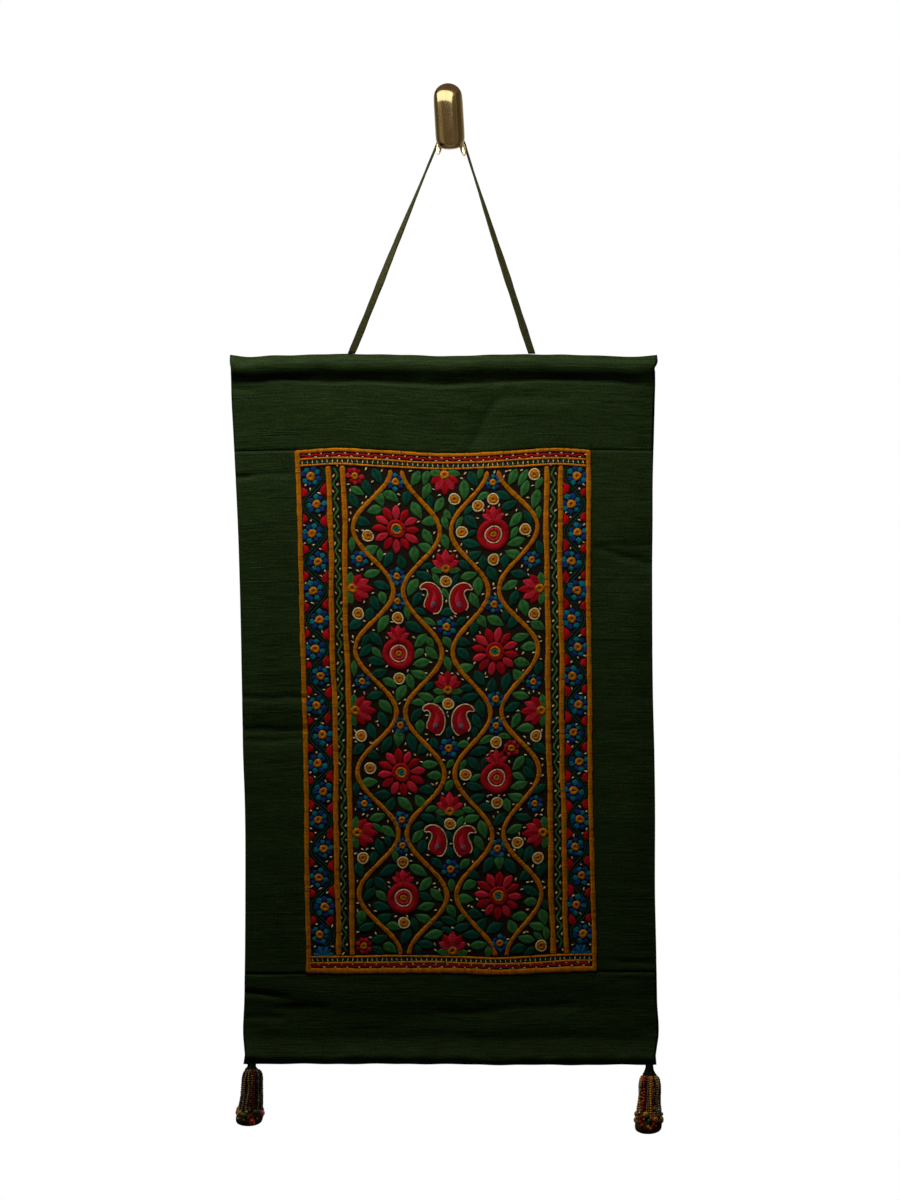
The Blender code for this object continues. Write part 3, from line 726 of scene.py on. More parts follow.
def crease_at(u, v):
    """Soft troughs: along each short line the depth fades with the square of the distance from it."""
    total = np.zeros(np.broadcast(u, v).shape)
    for start_u, start_v, end_u, end_v, half_width, forward in CREASES:
        run = np.array((end_u - start_u, end_v - start_v))
        length = np.hypot(*run)
        along = ((u - start_u) * run[0] + (v - start_v) * run[1]) / length
        beside = ((v - start_v) * run[0] - (u - start_u) * run[1]) / length
        past = np.maximum(np.maximum(-along, along - length), 0.0)
        waver = 0.5 * np.sin(along / 5.0 + start_v)
        total += forward * np.exp(-(((beside + waver) / half_width) ** 2) - (past / 4.0) ** 2)
    return total


def ripple_at(u, v):
    """Fine slack in the cloth: low cross ripples whose pitch and strength drift from place to place."""
    slow = 0.5 + 0.5 * np.sin(u / 29.0 + v / 41.0 + 1.0)
    first = np.sin(v / 1.9 + 1.4 * np.sin(u / 17.0) + 1.1 * np.sin(v / 23.0))
    second = np.sin(v / 4.7 - u / 31.0 + 2.0 * np.sin(u / 37.0 + v / 53.0))
    return 0.070 * first * slow + 0.13 * second


def forward_at(u, v):
    """How far the cloth's middle stands forward of the rods."""
    swell = np.zeros(np.broadcast(u, v).shape)
    for wave_u, wave_v, half_width, half_height, forward in WAVES:
        swell += forward * np.exp(-(((u - wave_u) / half_width) ** 2 + ((v - wave_v) / half_height) ** 2))
    to_edge = np.minimum(u - U_MARKS[0], U_MARKS[-1] - u)
    curl = SIDE_EDGE_CURL * np.exp(-((to_edge / SIDE_EDGE_REACH) ** 2))
    stitching = TOP_STITCHING + curve(u, *np.array(STITCHING_STRAY).T)
    to_top = np.clip((v - stitching) / 1.4, 0.0, 1.0)
    to_bottom = np.clip((V_MARKS[-1] - BOTTOM_STITCHING - v) / 6.0, 0.0, 1.0)
    return (swell - curl + crease_at(u, v) + ripple_at(u, v)) * to_top * to_bottom


def cloth(u, v, offset):
    """Points of the hanging cloth, in millimetres, moved forward from its middle by the offset."""
    drop = drop_at(u, v)
    depth = ROD_AXIS_DEPTH + forward_at(u, v) + offset
    return join(across_at(u, drop), -depth, PANEL_TOP - drop)


def rounded_edge(distance, radius):
    """Share of the full thickness at a distance from a folded edge: a quarter circle."""
    near = np.clip(1.0 - distance / radius, 0.0, 0.994)
    return np.sqrt(1.0 - near**2)


def step_up(distance, width):
    """0 before an edge, 1 past it, with a soft step of the given width."""
    share = np.clip(distance / width, 0.0, 1.0)
    return share * share * (3.0 - 2.0 * share)


# %% [markdown]
# ## The silk frame
# Four lengths of raw silk are sewn round the embroidery: two side strips, and two bands whose
# far edges are turned over a rod and stitched down as sleeves. Each is one closed sheet. Where
# two meet, one tucks under the other, which leaves the fine groove of a pressed seam.

# %% Side strips
TUCK_DEPTH, TUCK_REACH = 1.75, 2.6
# A tucked sheet starts to go down this far before the seam, and is down after this width.
SEAM_LEAD, END_LEAD, SEAM_WIDTH = 0.2, 0.3, 0.6
SHEET_STEP, SILK_FOLD = 1.6, 0.9
# How far on a sheet's back lies in the weave, so that its two faces don't show the same slubs.
BACK_SHIFT = 700.0


def sheet_piece(name, node, us, vs, half, tuck, finish, slot_name):
    """A closed sheet on the cloth's surface. Its half thickness, and how far back it is tucked, are
    functions of (u, v)."""
    u, v = np.meshgrid(us, vs)
    points = np.stack([cloth(u, v, side * half(u, v) - tuck(u, v)) for side in (1, -1)])
    places = np.stack([join(u, v + shift, 0.0) for shift in (0.0, BACK_SHIFT)])
    return make_sheet(name, points, places, finish, slot_name, node)


def side_strip(name, node, outer, inner):
    """A strip from its folded outer edge to a turning tucked behind the embroidery."""
    direction = np.sign(inner - outer)
    fine = np.array((0.0, 0.12, 0.4, 0.9, 1.7))
    width = abs(inner - outer)
    spans = np.concatenate((fine, np.linspace(3.2, width - 1.2, 14), (width - 0.5, width - 0.1, width + 0.4,
                                                                     width + TUCK_REACH)))
    us = outer + direction * spans
    vs = np.arange(TOP_EDGE - TUCK_REACH, BOTTOM_EDGE + TUCK_REACH + 0.01, SHEET_STEP)

    def tuck(u, v):
        """How far back the strip lies, past its seam and past both its ends."""
        past_side = step_up(direction * (u - inner) + SEAM_LEAD, SEAM_WIDTH)
        past_ends = [step_up(past + END_LEAD, SEAM_WIDTH) for past in (TOP_EDGE - v, v - BOTTOM_EDGE)]
        return TUCK_DEPTH * np.clip(past_side + sum(past_ends), 0.0, 1.0)

    def half(u, v):
        """Half the strip's thickness, rounded off at its folded edge."""
        return SILK_HALF * rounded_edge(direction * (u - outer), SILK_FOLD)

    strip = sheet_piece(name, node, np.sort(us), vs, half, tuck, silk, "green_silk")


side_strip("silk_strip_left", "silk_left_strip", U_MARKS[0], LEFT_EDGE)
side_strip("silk_strip_right", "silk_right_strip", U_MARKS[3], RIGHT_EDGE)


# %% Sleeved bands
SLEEVE_COLUMNS = 130
SLEEVE_ANGLES, FALL_ROWS = 20, 5
# The sleeve's front and back meet this high on the rod's round.
SLEEVE_LIP = math.radians(88.0)
# Rows past the seam: this far where the band shows its own edge, the full reach where it is tucked.
SEAM_LIP, LIP_DEPTH, BAND_FOLD = 0.35, 0.6, 0.7
FALL_SLACK = 0.35
# The sleeve's turned-in ends. Columns: place across, share of its depth that is left there.
TURNED_IN = np.array(((5.5, 0.12), (3.4, 0.5), (1.3, 0.86), (0.35, 0.97)))


def sleeve_dent(u, share):
    """Dents in a sleeve: the silk lies loose on the rod, most of all low down, by the stitching."""
    waver = 0.16 * np.sin(u / 9.0 + 3.0 * share) + 0.12 * np.sin(u / 4.1 - 5.0 * share + 1.0)
    slack = 0.28 * np.sin(u / 15.0 + 2.0 * np.sin(u / 47.0)) + 0.18 * np.sin(u / 6.3 + 1.5)
    ends = 1.3 * np.exp(-(((u - 9.0) / 5.0) ** 2)) * np.exp(-(((share - 0.40) / 0.25) ** 2))
    return waver + slack * step_up(share - 0.45, 0.5) - ends


def band_side(u, side, edge_v, stitch_v, seam_v, radius, upward, share):
    """Rows of one face of a band, front (side 1) or back (side -1), from the sleeve's lip to the seam.

    The first rows lie on the rod's round: height is radius times the sine of the angle, and depth
    radius times its cosine. Then a straight fall runs to the stitching, and the last rows are the
    hanging cloth. The share pulls a row's depth towards its middle, which closes the sleeve's ends.
    """
    tangent = -np.arcsin(radius / (np.abs(stitch_v - edge_v) - radius))
    way = np.linspace(0.0, 1.0, SLEEVE_ANGLES)[:, None]
    angles = SLEEVE_LIP + (tangent - SLEEVE_LIP) * way
    swelled = radius + sleeve_dent(u, way)
    round_drop = drop_at(u, edge_v) + upward * (radius - swelled * np.sin(angles))
    round_depth = ROD_AXIS_DEPTH + side * swelled * np.cos(angles) * share
    rows = [join(across_at(u, round_drop), -round_depth, PANEL_TOP - round_drop)]
    inside = step_up(u - LEFT_EDGE - 1.0, 1.0) * step_up(RIGHT_EDGE - 1.0 - u, 1.0)
    last_v = seam_v + upward * (SEAM_LIP + (TUCK_REACH - SEAM_LIP) * inside)
    falls = np.linspace(0.0, 1.0, int(abs(seam_v - stitch_v[0]) / SHEET_STEP) + 1)[:, None]
    v = stitch_v + (last_v - stitch_v) * falls
    past_seam = step_up(upward * (v - seam_v) + SEAM_LEAD, SEAM_WIDTH)
    tucked = TUCK_DEPTH * past_seam * inside + LIP_DEPTH * past_seam * (1.0 - inside) * (side > 0)
    offset = side * SILK_HALF * share * rounded_edge(upward * (last_v - v) + 0.1, BAND_FOLD) - tucked
    hang = cloth(np.broadcast_to(u, v.shape), v, offset)
    steps = np.linspace(0.0, 1.0, FALL_ROWS + 1)[1:-1, None, None]
    slack = np.sin(steps * math.pi) * np.array((0.0, side * FALL_SLACK, 0.0))
    rows += [rows[0][-1] + (hang[0] - rows[0][-1]) * steps + slack, hang]
    drops = np.concatenate((PANEL_TOP - rows[0][..., 2], PANEL_TOP - rows[1][..., 2], v), 0)
    return np.concatenate(rows, 0), drops


def sleeved_band(name, node, edge_v, stitch_v, seam_v, radius, upward, stray):
    """A band of silk with its sleeve. Its ends are turned in: the last columns go back into the
    sleeve while front and back draw together."""
    turned_u, turned_share = TURNED_IN.T
    middle = np.linspace(0.0, U_MARKS[-1], SLEEVE_COLUMNS)
    us = np.concatenate((turned_u, middle, U_MARKS[-1] - turned_u[::-1]))
    shares = np.concatenate((turned_share, np.ones(len(middle)), turned_share[::-1]))
    stitching = stitch_v + stray * curve(us, *np.array(STITCHING_STRAY).T)
    points, places = [], []
    for side, shift in ((1, 0.0), (-1, BACK_SHIFT)):
        rows, drops = band_side(us, side, edge_v, stitching, seam_v, radius, upward, shares)
        points.append(rows)
        places.append(join(us[None], drops + shift, 0.0))
    band = make_sheet(name, np.stack(points), np.stack(places), silk, "green_silk", node)


sleeved_band("silk_band_top", "silk_top_band", V_MARKS[0], TOP_STITCHING, TOP_EDGE, 7.9, 1, 1.0)
sleeved_band("silk_band_bottom", "silk_bottom_band", V_MARKS[3], V_MARKS[3] - BOTTOM_STITCHING, BOTTOM_EDGE,
             5.2, -1, 0.3)

# %% [markdown]
# ## The dark ground
# The embroidery is worked on dark brown cotton, which the tight stitches pull into small
# puckers. It is one closed sheet on the same surface, with a plain weave in its material.

# %% Ground cloth
GROUND_STEP, GROUND_FOLD = 2.0, 0.7
GROUND_DARK = (0.0080, 0.0045, 0.0022)
GROUND_LIGHT = (0.0260, 0.0150, 0.0070)


def make_ground_material():
    """Brown cotton: a fine even weave, uneven dye, and a little fluff."""
    made, tree, shader = new_material("brown_cotton", 0.85, 0.15)
    weave = use_group(tree, weave_group, Slubs=0.15)
    dye = ranged(tree, stretched_noise(tree, place_of(tree), (0.09, 0.14, 1.0)), 0.3, 0.7, 0.0, 0.4)
    tone = sums(tree, "ADD", sums(tree, "MULTIPLY", weave["Tone"], 0.6), dye)
    feed(shader, Base_Color=ramp(tree, tone, ((0.1, GROUND_DARK), (0.9, GROUND_LIGHT))))
    bumped(tree, shader, weave["Height"], 0.0003)
    return made


def edged_steps(first, last):
    """Even steps from edge to edge, with finer ones at both ends for the folds."""
    middle = np.arange(first + 2.0, last - 1.5, GROUND_STEP)
    return np.concatenate(((first, first + 0.3, first + 0.8), middle, (last - 0.8, last - 0.3, last)))


def ground_half(u, v):
    """Half the ground's thickness, rounded off at its four folded edges."""
    sides = rounded_edge(np.minimum(u - LEFT_EDGE, RIGHT_EDGE - u), GROUND_FOLD)
    return EMBROIDERED_HALF * sides * rounded_edge(np.minimum(v - TOP_EDGE, BOTTOM_EDGE - v), GROUND_FOLD)


ground = sheet_piece(
    "embroidery_ground", "embroidered_cloth", edged_steps(LEFT_EDGE, RIGHT_EDGE),
    edged_steps(TOP_EDGE, BOTTOM_EDGE), ground_half, lambda u, v: 0.0, make_ground_material(),
    "embroidered_cotton",
)

# %% [markdown]
# ## Stitches as low mounds
# Pakko work is solid and tight: every motif is filled with close stitches that stand up from
# the cloth like a low mound. A bump map could fake them, but raised thread catches the light
# from above and throws a small shadow, so each stitch group is a mesh. One function makes a
# mound along any path: bars, rings, leaves, petals and single stitches are all that mound with
# other widths. Every mound lives in cloth coordinates, and is laid on the hanging cloth at the end.

# %% Mound
UNDERSIDE = -0.55
SECTION = (-1.0, -0.84, -0.45, 0.0, 0.45, 0.84, 1.0)
ROWS_BETWEEN_PITS = 4
# Tones from 0 to 1: of the few dark threads, of the darkest other, and how far the others range.
DARK_SHARE, DARK_TONE, LEAST_TONE, TONE_RANGE = 0.05, 0.30, 0.53, 0.34
# Painted shade: how far the tone drops in the grooves between threads and along a sunk rib.
PAINTED_GROOVE_SHADE, PAINTED_RIB_SHADE, COPY_RANGE = 1.3, 1.1, 0.24
UNDER_POINTS = np.array((0.7, -0.7))
laid = {}
taken = []


def mound(
    path, half_width, height, ridge=0.13, lengthwise=0, closed=False, seed=0.0, section=SECTION,
    slant=0.0, rib=0.0, pits=0.0,
):
    """A raised band of thread along a path of (u, v) rows.

    Across the path the height is a flattened half circle: height times (1 - across squared) to the
    power 0.4. Crosswise threads lift every second row by the ridge. Lengthwise threads lift every
    second point of the section instead. The slant draws each thread forward as it goes outwards,
    the rib sinks the middle line, and the pits are needle holes along it. Two points underneath
    close the section. Each thread keeps a tone of its own, and a few are dark. Painted shade darkens
    the tone in each groove, along the sunk middle line and in each needle hole.
    """
    path = np.asarray(path, float)
    rows = len(path)
    along = unit(np.roll(path, -1, 0) - np.roll(path, 1, 0) if closed else np.gradient(path, axis=0))
    normal = join(-along[:, 1], along[:, 0])
    across = np.linspace(-1.0, 1.0, 2 * lengthwise + 1) if lengthwise else np.array(section)
    width = np.broadcast_to(np.asarray(half_width, float), rows)
    share = np.sqrt(width / width.max())[:, None]
    threads = np.arange(len(across))[None] if lengthwise else np.arange(rows)[:, None]
    hole = pits * (threads % ROWS_BETWEEN_PITS == 0) * (np.abs(across) < 0.1)
    top = height * share * (1.0 - across**2) ** 0.4 + (threads % 2 - 0.5) * ridge * share * (1.0 - across**4)
    top = top - rib * share * np.exp(-((across / 0.3) ** 2)) - hole
    thread = shuffle(threads // 2, seed)
    # Painted shade: the sunk thread of each pair, the sunk middle line and each needle hole are darkened in
    # the tone.
    groove = PAINTED_GROOVE_SHADE * ridge * (threads % 2 == 0)
    tone = np.where(thread < DARK_SHARE, DARK_TONE, LEAST_TONE + TONE_RANGE * thread) - groove
    tone = tone - PAINTED_RIB_SHADE * rib * np.exp(-((across / 0.25) ** 2)) - hole
    sideways = np.concatenate((across, UNDER_POINTS))[None] * width[:, None]
    heights = np.concatenate((top, np.full((rows, 2), UNDERSIDE)), 1)
    tones = np.concatenate((tone, tone[:, -2:]), 1)
    spots = path[:, None] + normal[:, None] * sideways[..., None]
    spots = spots + along[:, None] * slant * np.abs(sideways)[..., None]
    points = np.concatenate((spots, heights[..., None]), -1)
    places = join(walked_along(path)[:, None], sideways, tones)
    return {"points": points, "places": places, "closed": closed, "path": path, "width": width}


def lay(colour, shape, at=((0.0, 0.0),), turn=0.0, size=1.0, fills=True):
    """Copy a mound to places on the cloth, turned by radians and scaled, in one colour of thread."""
    at = np.atleast_2d(np.asarray(at, float))
    copies = len(at)
    turn, size = (np.broadcast_to(np.asarray(given, float), copies) for given in (turn, size))
    cosine, sine = np.cos(turn), np.sin(turn)
    spin = np.stack((join(cosine, -sine), join(sine, cosine)), -2) * size[:, None, None]
    flat = np.einsum("kij,nrj->knri", spin, shape["points"][..., :2]) + at[:, None, None]
    heights = np.broadcast_to(shape["points"][..., 2], flat.shape[:-1])
    points = np.concatenate((flat, heights[..., None]), -1)
    places = np.array(np.broadcast_to(shape["places"], points.shape))
    own_tone = COPY_RANGE * (shuffle(at[:, 0] * 3.1 + at[:, 1] * 7.7 + turn) - 0.5)
    places[..., 2] = np.clip(places[..., 2] + own_tone[:, None, None], 0.0, 1.0)
    faces = tube_faces(*points.shape[1:3], shape["closed"])
    batch = (points.reshape(copies, -1, 3), places.reshape(copies, -1, 3), *faces)
    laid.setdefault(colour, []).append(batch)
    if fills:
        spots = np.einsum("kij,nj->kni", spin, shape["path"]) + at[:, None]
        reach = shape["width"][None] * size[:, None]
        taken.append(np.concatenate((spots, reach[..., None]), -1).reshape(-1, 3)[::2])


# %% Stitch shapes
LEAF_HEIGHT = 0.85
PETAL_STATIONS, STITCH_STATIONS = 9, 4
# How far round its spots a search looks, and how many spots it takes at once.
SEARCH_REACH, SEARCH_BATCH = 12.0, 300


def even_rows(length, pitch):
    """How many rows a path of that length needs, two for each thread."""
    return max(5, 2 * int(round(length / pitch)) + 1)


def bar(route, half_width, height, pitch=1.0, ridge=0.16, seed=0.0, pits=0.0, rough=0.05, slant=0.0, rib=0.0):
    """A solid bar of crosswise stitches along a route, with round ends. Each thread is a little longer
    or shorter than the last, so the sides aren't smooth."""
    route = np.asarray(route, float)
    length = step_lengths(route).sum()
    path = smooth_route(route, even_rows(length, pitch))
    walked = np.linspace(0.0, length, len(path))
    ends = rounded_edge(np.minimum(walked, length - walked), half_width)
    uneven = rough * 2.0 * (shuffle(np.arange(len(path)) // 2, seed + 4.0) - 0.5)
    waver = 1.0 + 0.06 * np.sin(walked / 5.3 + seed) + 0.05 * np.sin(walked / 2.1 + 2.0 * seed) + uneven
    width = np.maximum(half_width * ends * waver, 0.08)
    return mound(path, width, height, ridge, seed=seed, pits=pits, slant=slant, rib=rib)


def ring(radius, half_width, height, pitch=1.0, ridge=0.16, seed=0.0, waver=0.03):
    """A closed ring of crosswise stitches, a little out of round."""
    rows = 2 * max(5, int(round(2.0 * math.pi * radius / pitch)))
    turn = full_turn(rows)
    reach = radius * (1.0 + waver * np.sin(2.0 * turn + seed) + waver * np.sin(3.0 * turn + 2.0 * seed))
    path = join(reach * np.cos(turn), reach * np.sin(turn))
    return mound(path, half_width, height, ridge, closed=True, seed=seed)


def leaf(length, half_width, bend, seed):
    """A fishbone leaf from (0, 0) along +u: half width times the sine of the way along, on a midline
    bowed sideways by the bend. Its threads slant outwards from a sunk midrib to a pointed tip."""
    share = np.linspace(0.0, 1.0, even_rows(length, 1.0))
    path = join(length * share, bend * 4.0 * share * (1.0 - share))
    width = half_width * np.sin(math.pi * np.clip(share, 0.006, 0.992) ** 0.88) ** 0.95
    return mound(path, np.maximum(width, 0.05), LEAF_HEIGHT, 0.15, seed=seed, slant=0.40, rib=0.36)


def petal(length, half_width, height, fullest, blunt, rows, seed=0.0, rib=0.12):
    """A petal from (0, 0) along +u, worked in lengthwise rows. Past one, the fullest value moves the
    widest place outwards, and a smaller blunt value rounds the tip. The rib sinks its middle."""
    share = np.linspace(0.0, 1.0, PETAL_STATIONS)
    path = join(length * share, 0.0)
    width = half_width * np.sin(math.pi * np.clip(share, 0.02, 0.985) ** fullest) ** blunt
    return mound(path, np.maximum(width, 0.06), height, 0.22, lengthwise=rows, seed=seed, rib=rib)


def half_leaf(length, depth, side, seed, fullest, sharp):
    """A leaf with one flat side along +v and the other bowed towards its side, as sewn against a bar.
    The larger the sharp value, the longer its points."""
    share = np.linspace(0.0, 1.0, even_rows(length, 0.95))
    bow = depth / 2 * np.sin(math.pi * np.clip(share, 0.02, 0.98) ** fullest) ** sharp
    path = join(side * bow, length * (share - 0.5))
    return mound(path, np.maximum(bow, 0.08), LEAF_HEIGHT, 0.15, seed=seed, slant=0.15)


def single_stitch(length, half_width, height):
    """One short stitch or knot, centred on (0, 0) and lying along u."""
    share = np.linspace(-1.0, 1.0, STITCH_STATIONS)
    path = join(length / 2 * share, 0.0)
    width = half_width * np.sqrt(np.clip(1.0 - share**2, 0.06, 1.0))
    return mound(path, width, height, 0.0, section=(-1.0, -0.6, 0.0, 0.6, 1.0))


def around(centre, radius, count, start=0.0):
    """Evenly spread places on a circle and their outward angles."""
    turn = start + 2.0 * math.pi * np.arange(count) / count
    return join(centre[0] + radius * np.cos(turn), centre[1] + radius * np.sin(turn)), turn


def run_stitches(colour, route, length, gap, half_width, height):
    """Short stitches in single file along a route."""
    route = np.asarray(route, float)
    path = smooth_route(route, int(step_lengths(route).sum() / (length + gap)) + 1)
    step = np.diff(path, axis=0)
    lay(colour, single_stitch(length, half_width, height), (path[1:] + path[:-1]) / 2,
        np.arctan2(step[:, 1], step[:, 0]))


def free_space(spots):
    """Distance from each (u, v) spot to the nearest thing already sewn, from its edge."""
    marks = np.vstack(taken)
    low, high = spots[:, 0].min() - SEARCH_REACH, spots[:, 0].max() + SEARCH_REACH
    u, v, reach = marks[(marks[:, 0] > low) & (marks[:, 0] < high)].T[:, None]
    free = np.empty(len(spots))
    for first in range(0, len(spots), SEARCH_BATCH):
        part = spots[first : first + SEARCH_BATCH]
        free[first : first + SEARCH_BATCH] = (np.hypot(part[:, :1] - u, part[:, 1:] - v) - reach).min(1)
    return free


def spots_on_grid(us, vs):
    """Every spot of a grid, as one array of u and one of v."""
    return (grid.ravel() for grid in np.meshgrid(us, vs))


# %% [markdown]
# ## The border
# The border is a set of traditional bands: solid mustard bars, a wavering red line with cream
# knots, a ladder of cream and teal, a green zigzag, and a vine that winds between blue flowers.
# All repeats are loops over one motif, drawn at the place that the loop gives.

# %% Mustard bars
FIELD_TOP, FIELD_BOTTOM = TOP_EDGE + 12.6, BOTTOM_EDGE - 13.2
# Bars down the cloth. Columns: distance from the embroidery's left or right edge, half width.
LEFT_BARS = ((1.75, 1.8), (23.6, 1.95), (33.75, 1.95))
RIGHT_BARS = ((1.75, 1.8), (22.0, 1.95), (31.8, 2.0))
# Bars across. Columns: distance from the embroidery's top or bottom edge, half width.
TOP_BARS = ((1.3, 1.35), (6.9, 0.85), (11.3, 0.85))
BOTTOM_BARS = ((2.1, 2.1), (7.9, 0.85), (12.1, 0.85))
BAR_POINTS = 44


def waver_line(start, end, fixed, down, seed, stray):
    """Points of a hand-sewn line: it strays a little from its middle as it runs."""
    along = np.linspace(start, end, BAR_POINTS)
    aside = stray * (np.sin(along / 21.0 + seed) + 0.5 * np.sin(along / 8.3 + 3.0 * seed))
    return join(*((fixed + aside, along) if down else (along, fixed + aside)))


for index, (reach, half_width) in enumerate(LEFT_BARS + RIGHT_BARS):
    fixed = LEFT_EDGE + reach if index < len(LEFT_BARS) else RIGHT_EDGE - reach
    outer = index % len(LEFT_BARS) == 0
    ends = (TOP_EDGE + 0.1, BOTTOM_EDGE - 0.1) if outer else (FIELD_TOP - 0.2, FIELD_BOTTOM + 0.4)
    route = waver_line(*ends, fixed, True, index, 0.14 if outer else 0.45)
    lay("mustard", bar(route, half_width, 1.0, 1.2, 0.2, seed=index, pits=0.45, rough=0.08))
for index, (reach, half_width) in enumerate(TOP_BARS + BOTTOM_BARS):
    fixed = TOP_EDGE + reach if index < len(TOP_BARS) else BOTTOM_EDGE - reach
    outer = index % len(TOP_BARS) == 0
    inset = 0.3 if outer else 3.2
    ends = (LEFT_EDGE + inset, RIGHT_EDGE - inset)
    route = waver_line(*ends, fixed, False, index + 7.0, 0.12 if outer else 0.22)
    lay("mustard", bar(route, half_width, 0.95, 1.2, 0.2, seed=index, pits=0.4 if outer else 0.0, rough=0.1))

# %% Red line, cream knots and the ladder
CREAM_KNOT, LONG_KNOT = single_stitch(1.9, 0.72, 1.0), single_stitch(2.7, 0.66, 0.95)
LADDER_PITCH = 3.6
RED_PERIOD, RED_SWING = 8.6, 0.62


def lay_knots(spots, turn, size):
    """Cream knots, a short one and a long one in turn."""
    for first, knot in enumerate((CREAM_KNOT, LONG_KNOT)):
        lay("cream", knot, spots[first::2], turn[first::2], size[first::2])


def crossing_bands(edge, inward, red_reach, ladder_reach, seed):
    """The two narrow bands between the bars that cross the top or the foot."""

    def swing(u):
        """The red line's wave: the sine of the way along, one turn for each period."""
        return np.sin(u / RED_PERIOD * 2.0 * math.pi + seed)

    u = np.arange(LEFT_EDGE + 4.2, RIGHT_EDGE - 3.8, 1.0)
    red = edge + inward * red_reach + RED_SWING * swing(u)
    lay("crimson", bar(join(u, red), 0.85, 0.85, 1.4, 0.25, seed=seed, rough=0.12))
    first = math.ceil((LEFT_EDGE + 5.0) / RED_PERIOD * 2.0) * RED_PERIOD / 2.0
    hollows = np.arange(first, RIGHT_EDGE - 4.0, RED_PERIOD / 2.0)
    hollows = hollows + RED_PERIOD * (0.25 - seed / (2.0 * math.pi))
    stray = stray_of(hollows, seed)
    spots = join(hollows + stray, edge + inward * red_reach - np.sign(swing(hollows)) * 1.05)
    lay("cream", CREAM_KNOT, spots, 0.8 * stray, 0.92 + 0.25 * stray)
    rungs = np.arange(LEFT_EDGE + 5.0, RIGHT_EDGE - 3.6, LADDER_PITCH)
    stray = stray_of(rungs, seed + 1.0)
    spots = join(rungs + 0.6 * stray, edge + inward * ladder_reach)
    lay("cream", single_stitch(2.9, 0.48, 0.85), spots, math.pi / 2 + 0.7 * stray)
    spots = spots[:-1] + (LADDER_PITCH / 2, 0.0)
    for shift in (-0.40, 0.40):
        lay("teal", single_stitch(2.5, 0.36, 0.5), spots + (shift, 0.0), math.pi / 2 + 0.2 * stray[1:])


crossing_bands(TOP_EDGE, 1.0, 4.55, 9.1, 0.4)
crossing_bands(BOTTOM_EDGE, -1.0, 5.75, 10.0, 1.7)

# %% Green zigzag
ZIGZAG_PERIOD = 12.2
# Columns: middle of the zigzag in u, which way its first point leans.
ZIGZAGS = ((LEFT_EDGE + 28.5, 1.0), (RIGHT_EDGE - 26.6, -1.0))


def zigzag_band(middle, lean):
    """A chain-stitched zigzag with soft corners, and a cream knot in each hollow."""
    corners = np.arange(FIELD_TOP + 0.4, FIELD_BOTTOM + 0.5, ZIGZAG_PERIOD / 2)
    side, stray = side_in_turn(corners) * lean, stray_of(corners, middle)
    down = corners + 1.6 * stray
    reach = join(middle + 0.5 * np.sin(down / 23.0) + side * (1.75 + 0.5 * stray), down)
    legs = reach[:-1, None] + np.array((0.16, 0.84))[:, None] * (reach[1:] - reach[:-1])[:, None]
    lay("leaf_green", bar(legs.reshape(-1, 2), 0.72, 0.8, 1.2, 0.22, seed=middle, rough=0.12))
    spots = join(reach[:, 0] - side * 3.4 + 0.4 * stray, down + 0.8 * stray)
    size = np.where(side_in_turn(corners) < 0.0, 1.0, 0.95) + 0.3 * stray
    lay_knots(spots, math.pi / 2 + 1.6 * stray, size)


for middle, lean in ZIGZAGS:
    zigzag_band(middle, lean)

# %% Flower bands
FLOWER_COUNT = 17
FLOWER_FIRST, FLOWER_LAST = 88.0, 417.5
# Columns: edge, way inwards, middle of the flowers, side step of every second one, band's two sides.
FLOWER_BANDS = (
    (LEFT_EDGE, 1.0, 12.3, 1.9, (3.6, 21.5)),
    (RIGHT_EDGE, -1.0, 11.8, 2.1, (3.6, 19.9)),
)
BLUE_PETALS = [petal(5.1, 2.3, 0.85, 1.1, 1.25, 3, rib=0.3), petal(4.7, 2.1, 0.85, 1.15, 0.9, 3, rib=0.3)]
FLOWER_RING = ring(1.8, 1.35, 1.1, 0.95, 0.22, waver=0.07)
FLOWER_PETALS = 8
BORDER_KNOT_STEP, BORDER_KNOT_ROOM, BORDER_KNOT_REACH = 1.6, 0.75, 3.4


def small_flower(centre, turn, colours, size):
    """Separate lozenge petals in two colours round a mustard ring with a small eye."""
    for index, colour in enumerate(colours):
        first = turn + index * 2.0 * math.pi / FLOWER_PETALS
        spots, angles = around(centre, 2.7 * size, FLOWER_PETALS // len(colours), first)
        stray = stray_of(angles, centre[1] + index)
        spots = spots + 0.5 * stray[:, None] * join(-np.sin(angles), np.cos(angles))
        for kind in (0, 1):
            chosen = (np.arange(len(angles)) + index + int(centre[1])) % 2 == kind
            lay(colour, BLUE_PETALS[kind], spots[chosen], (angles + 0.4 * stray)[chosen],
                (size * (1.0 + 0.3 * stray))[chosen])
    lay("mustard", FLOWER_RING, [centre], turn, size)


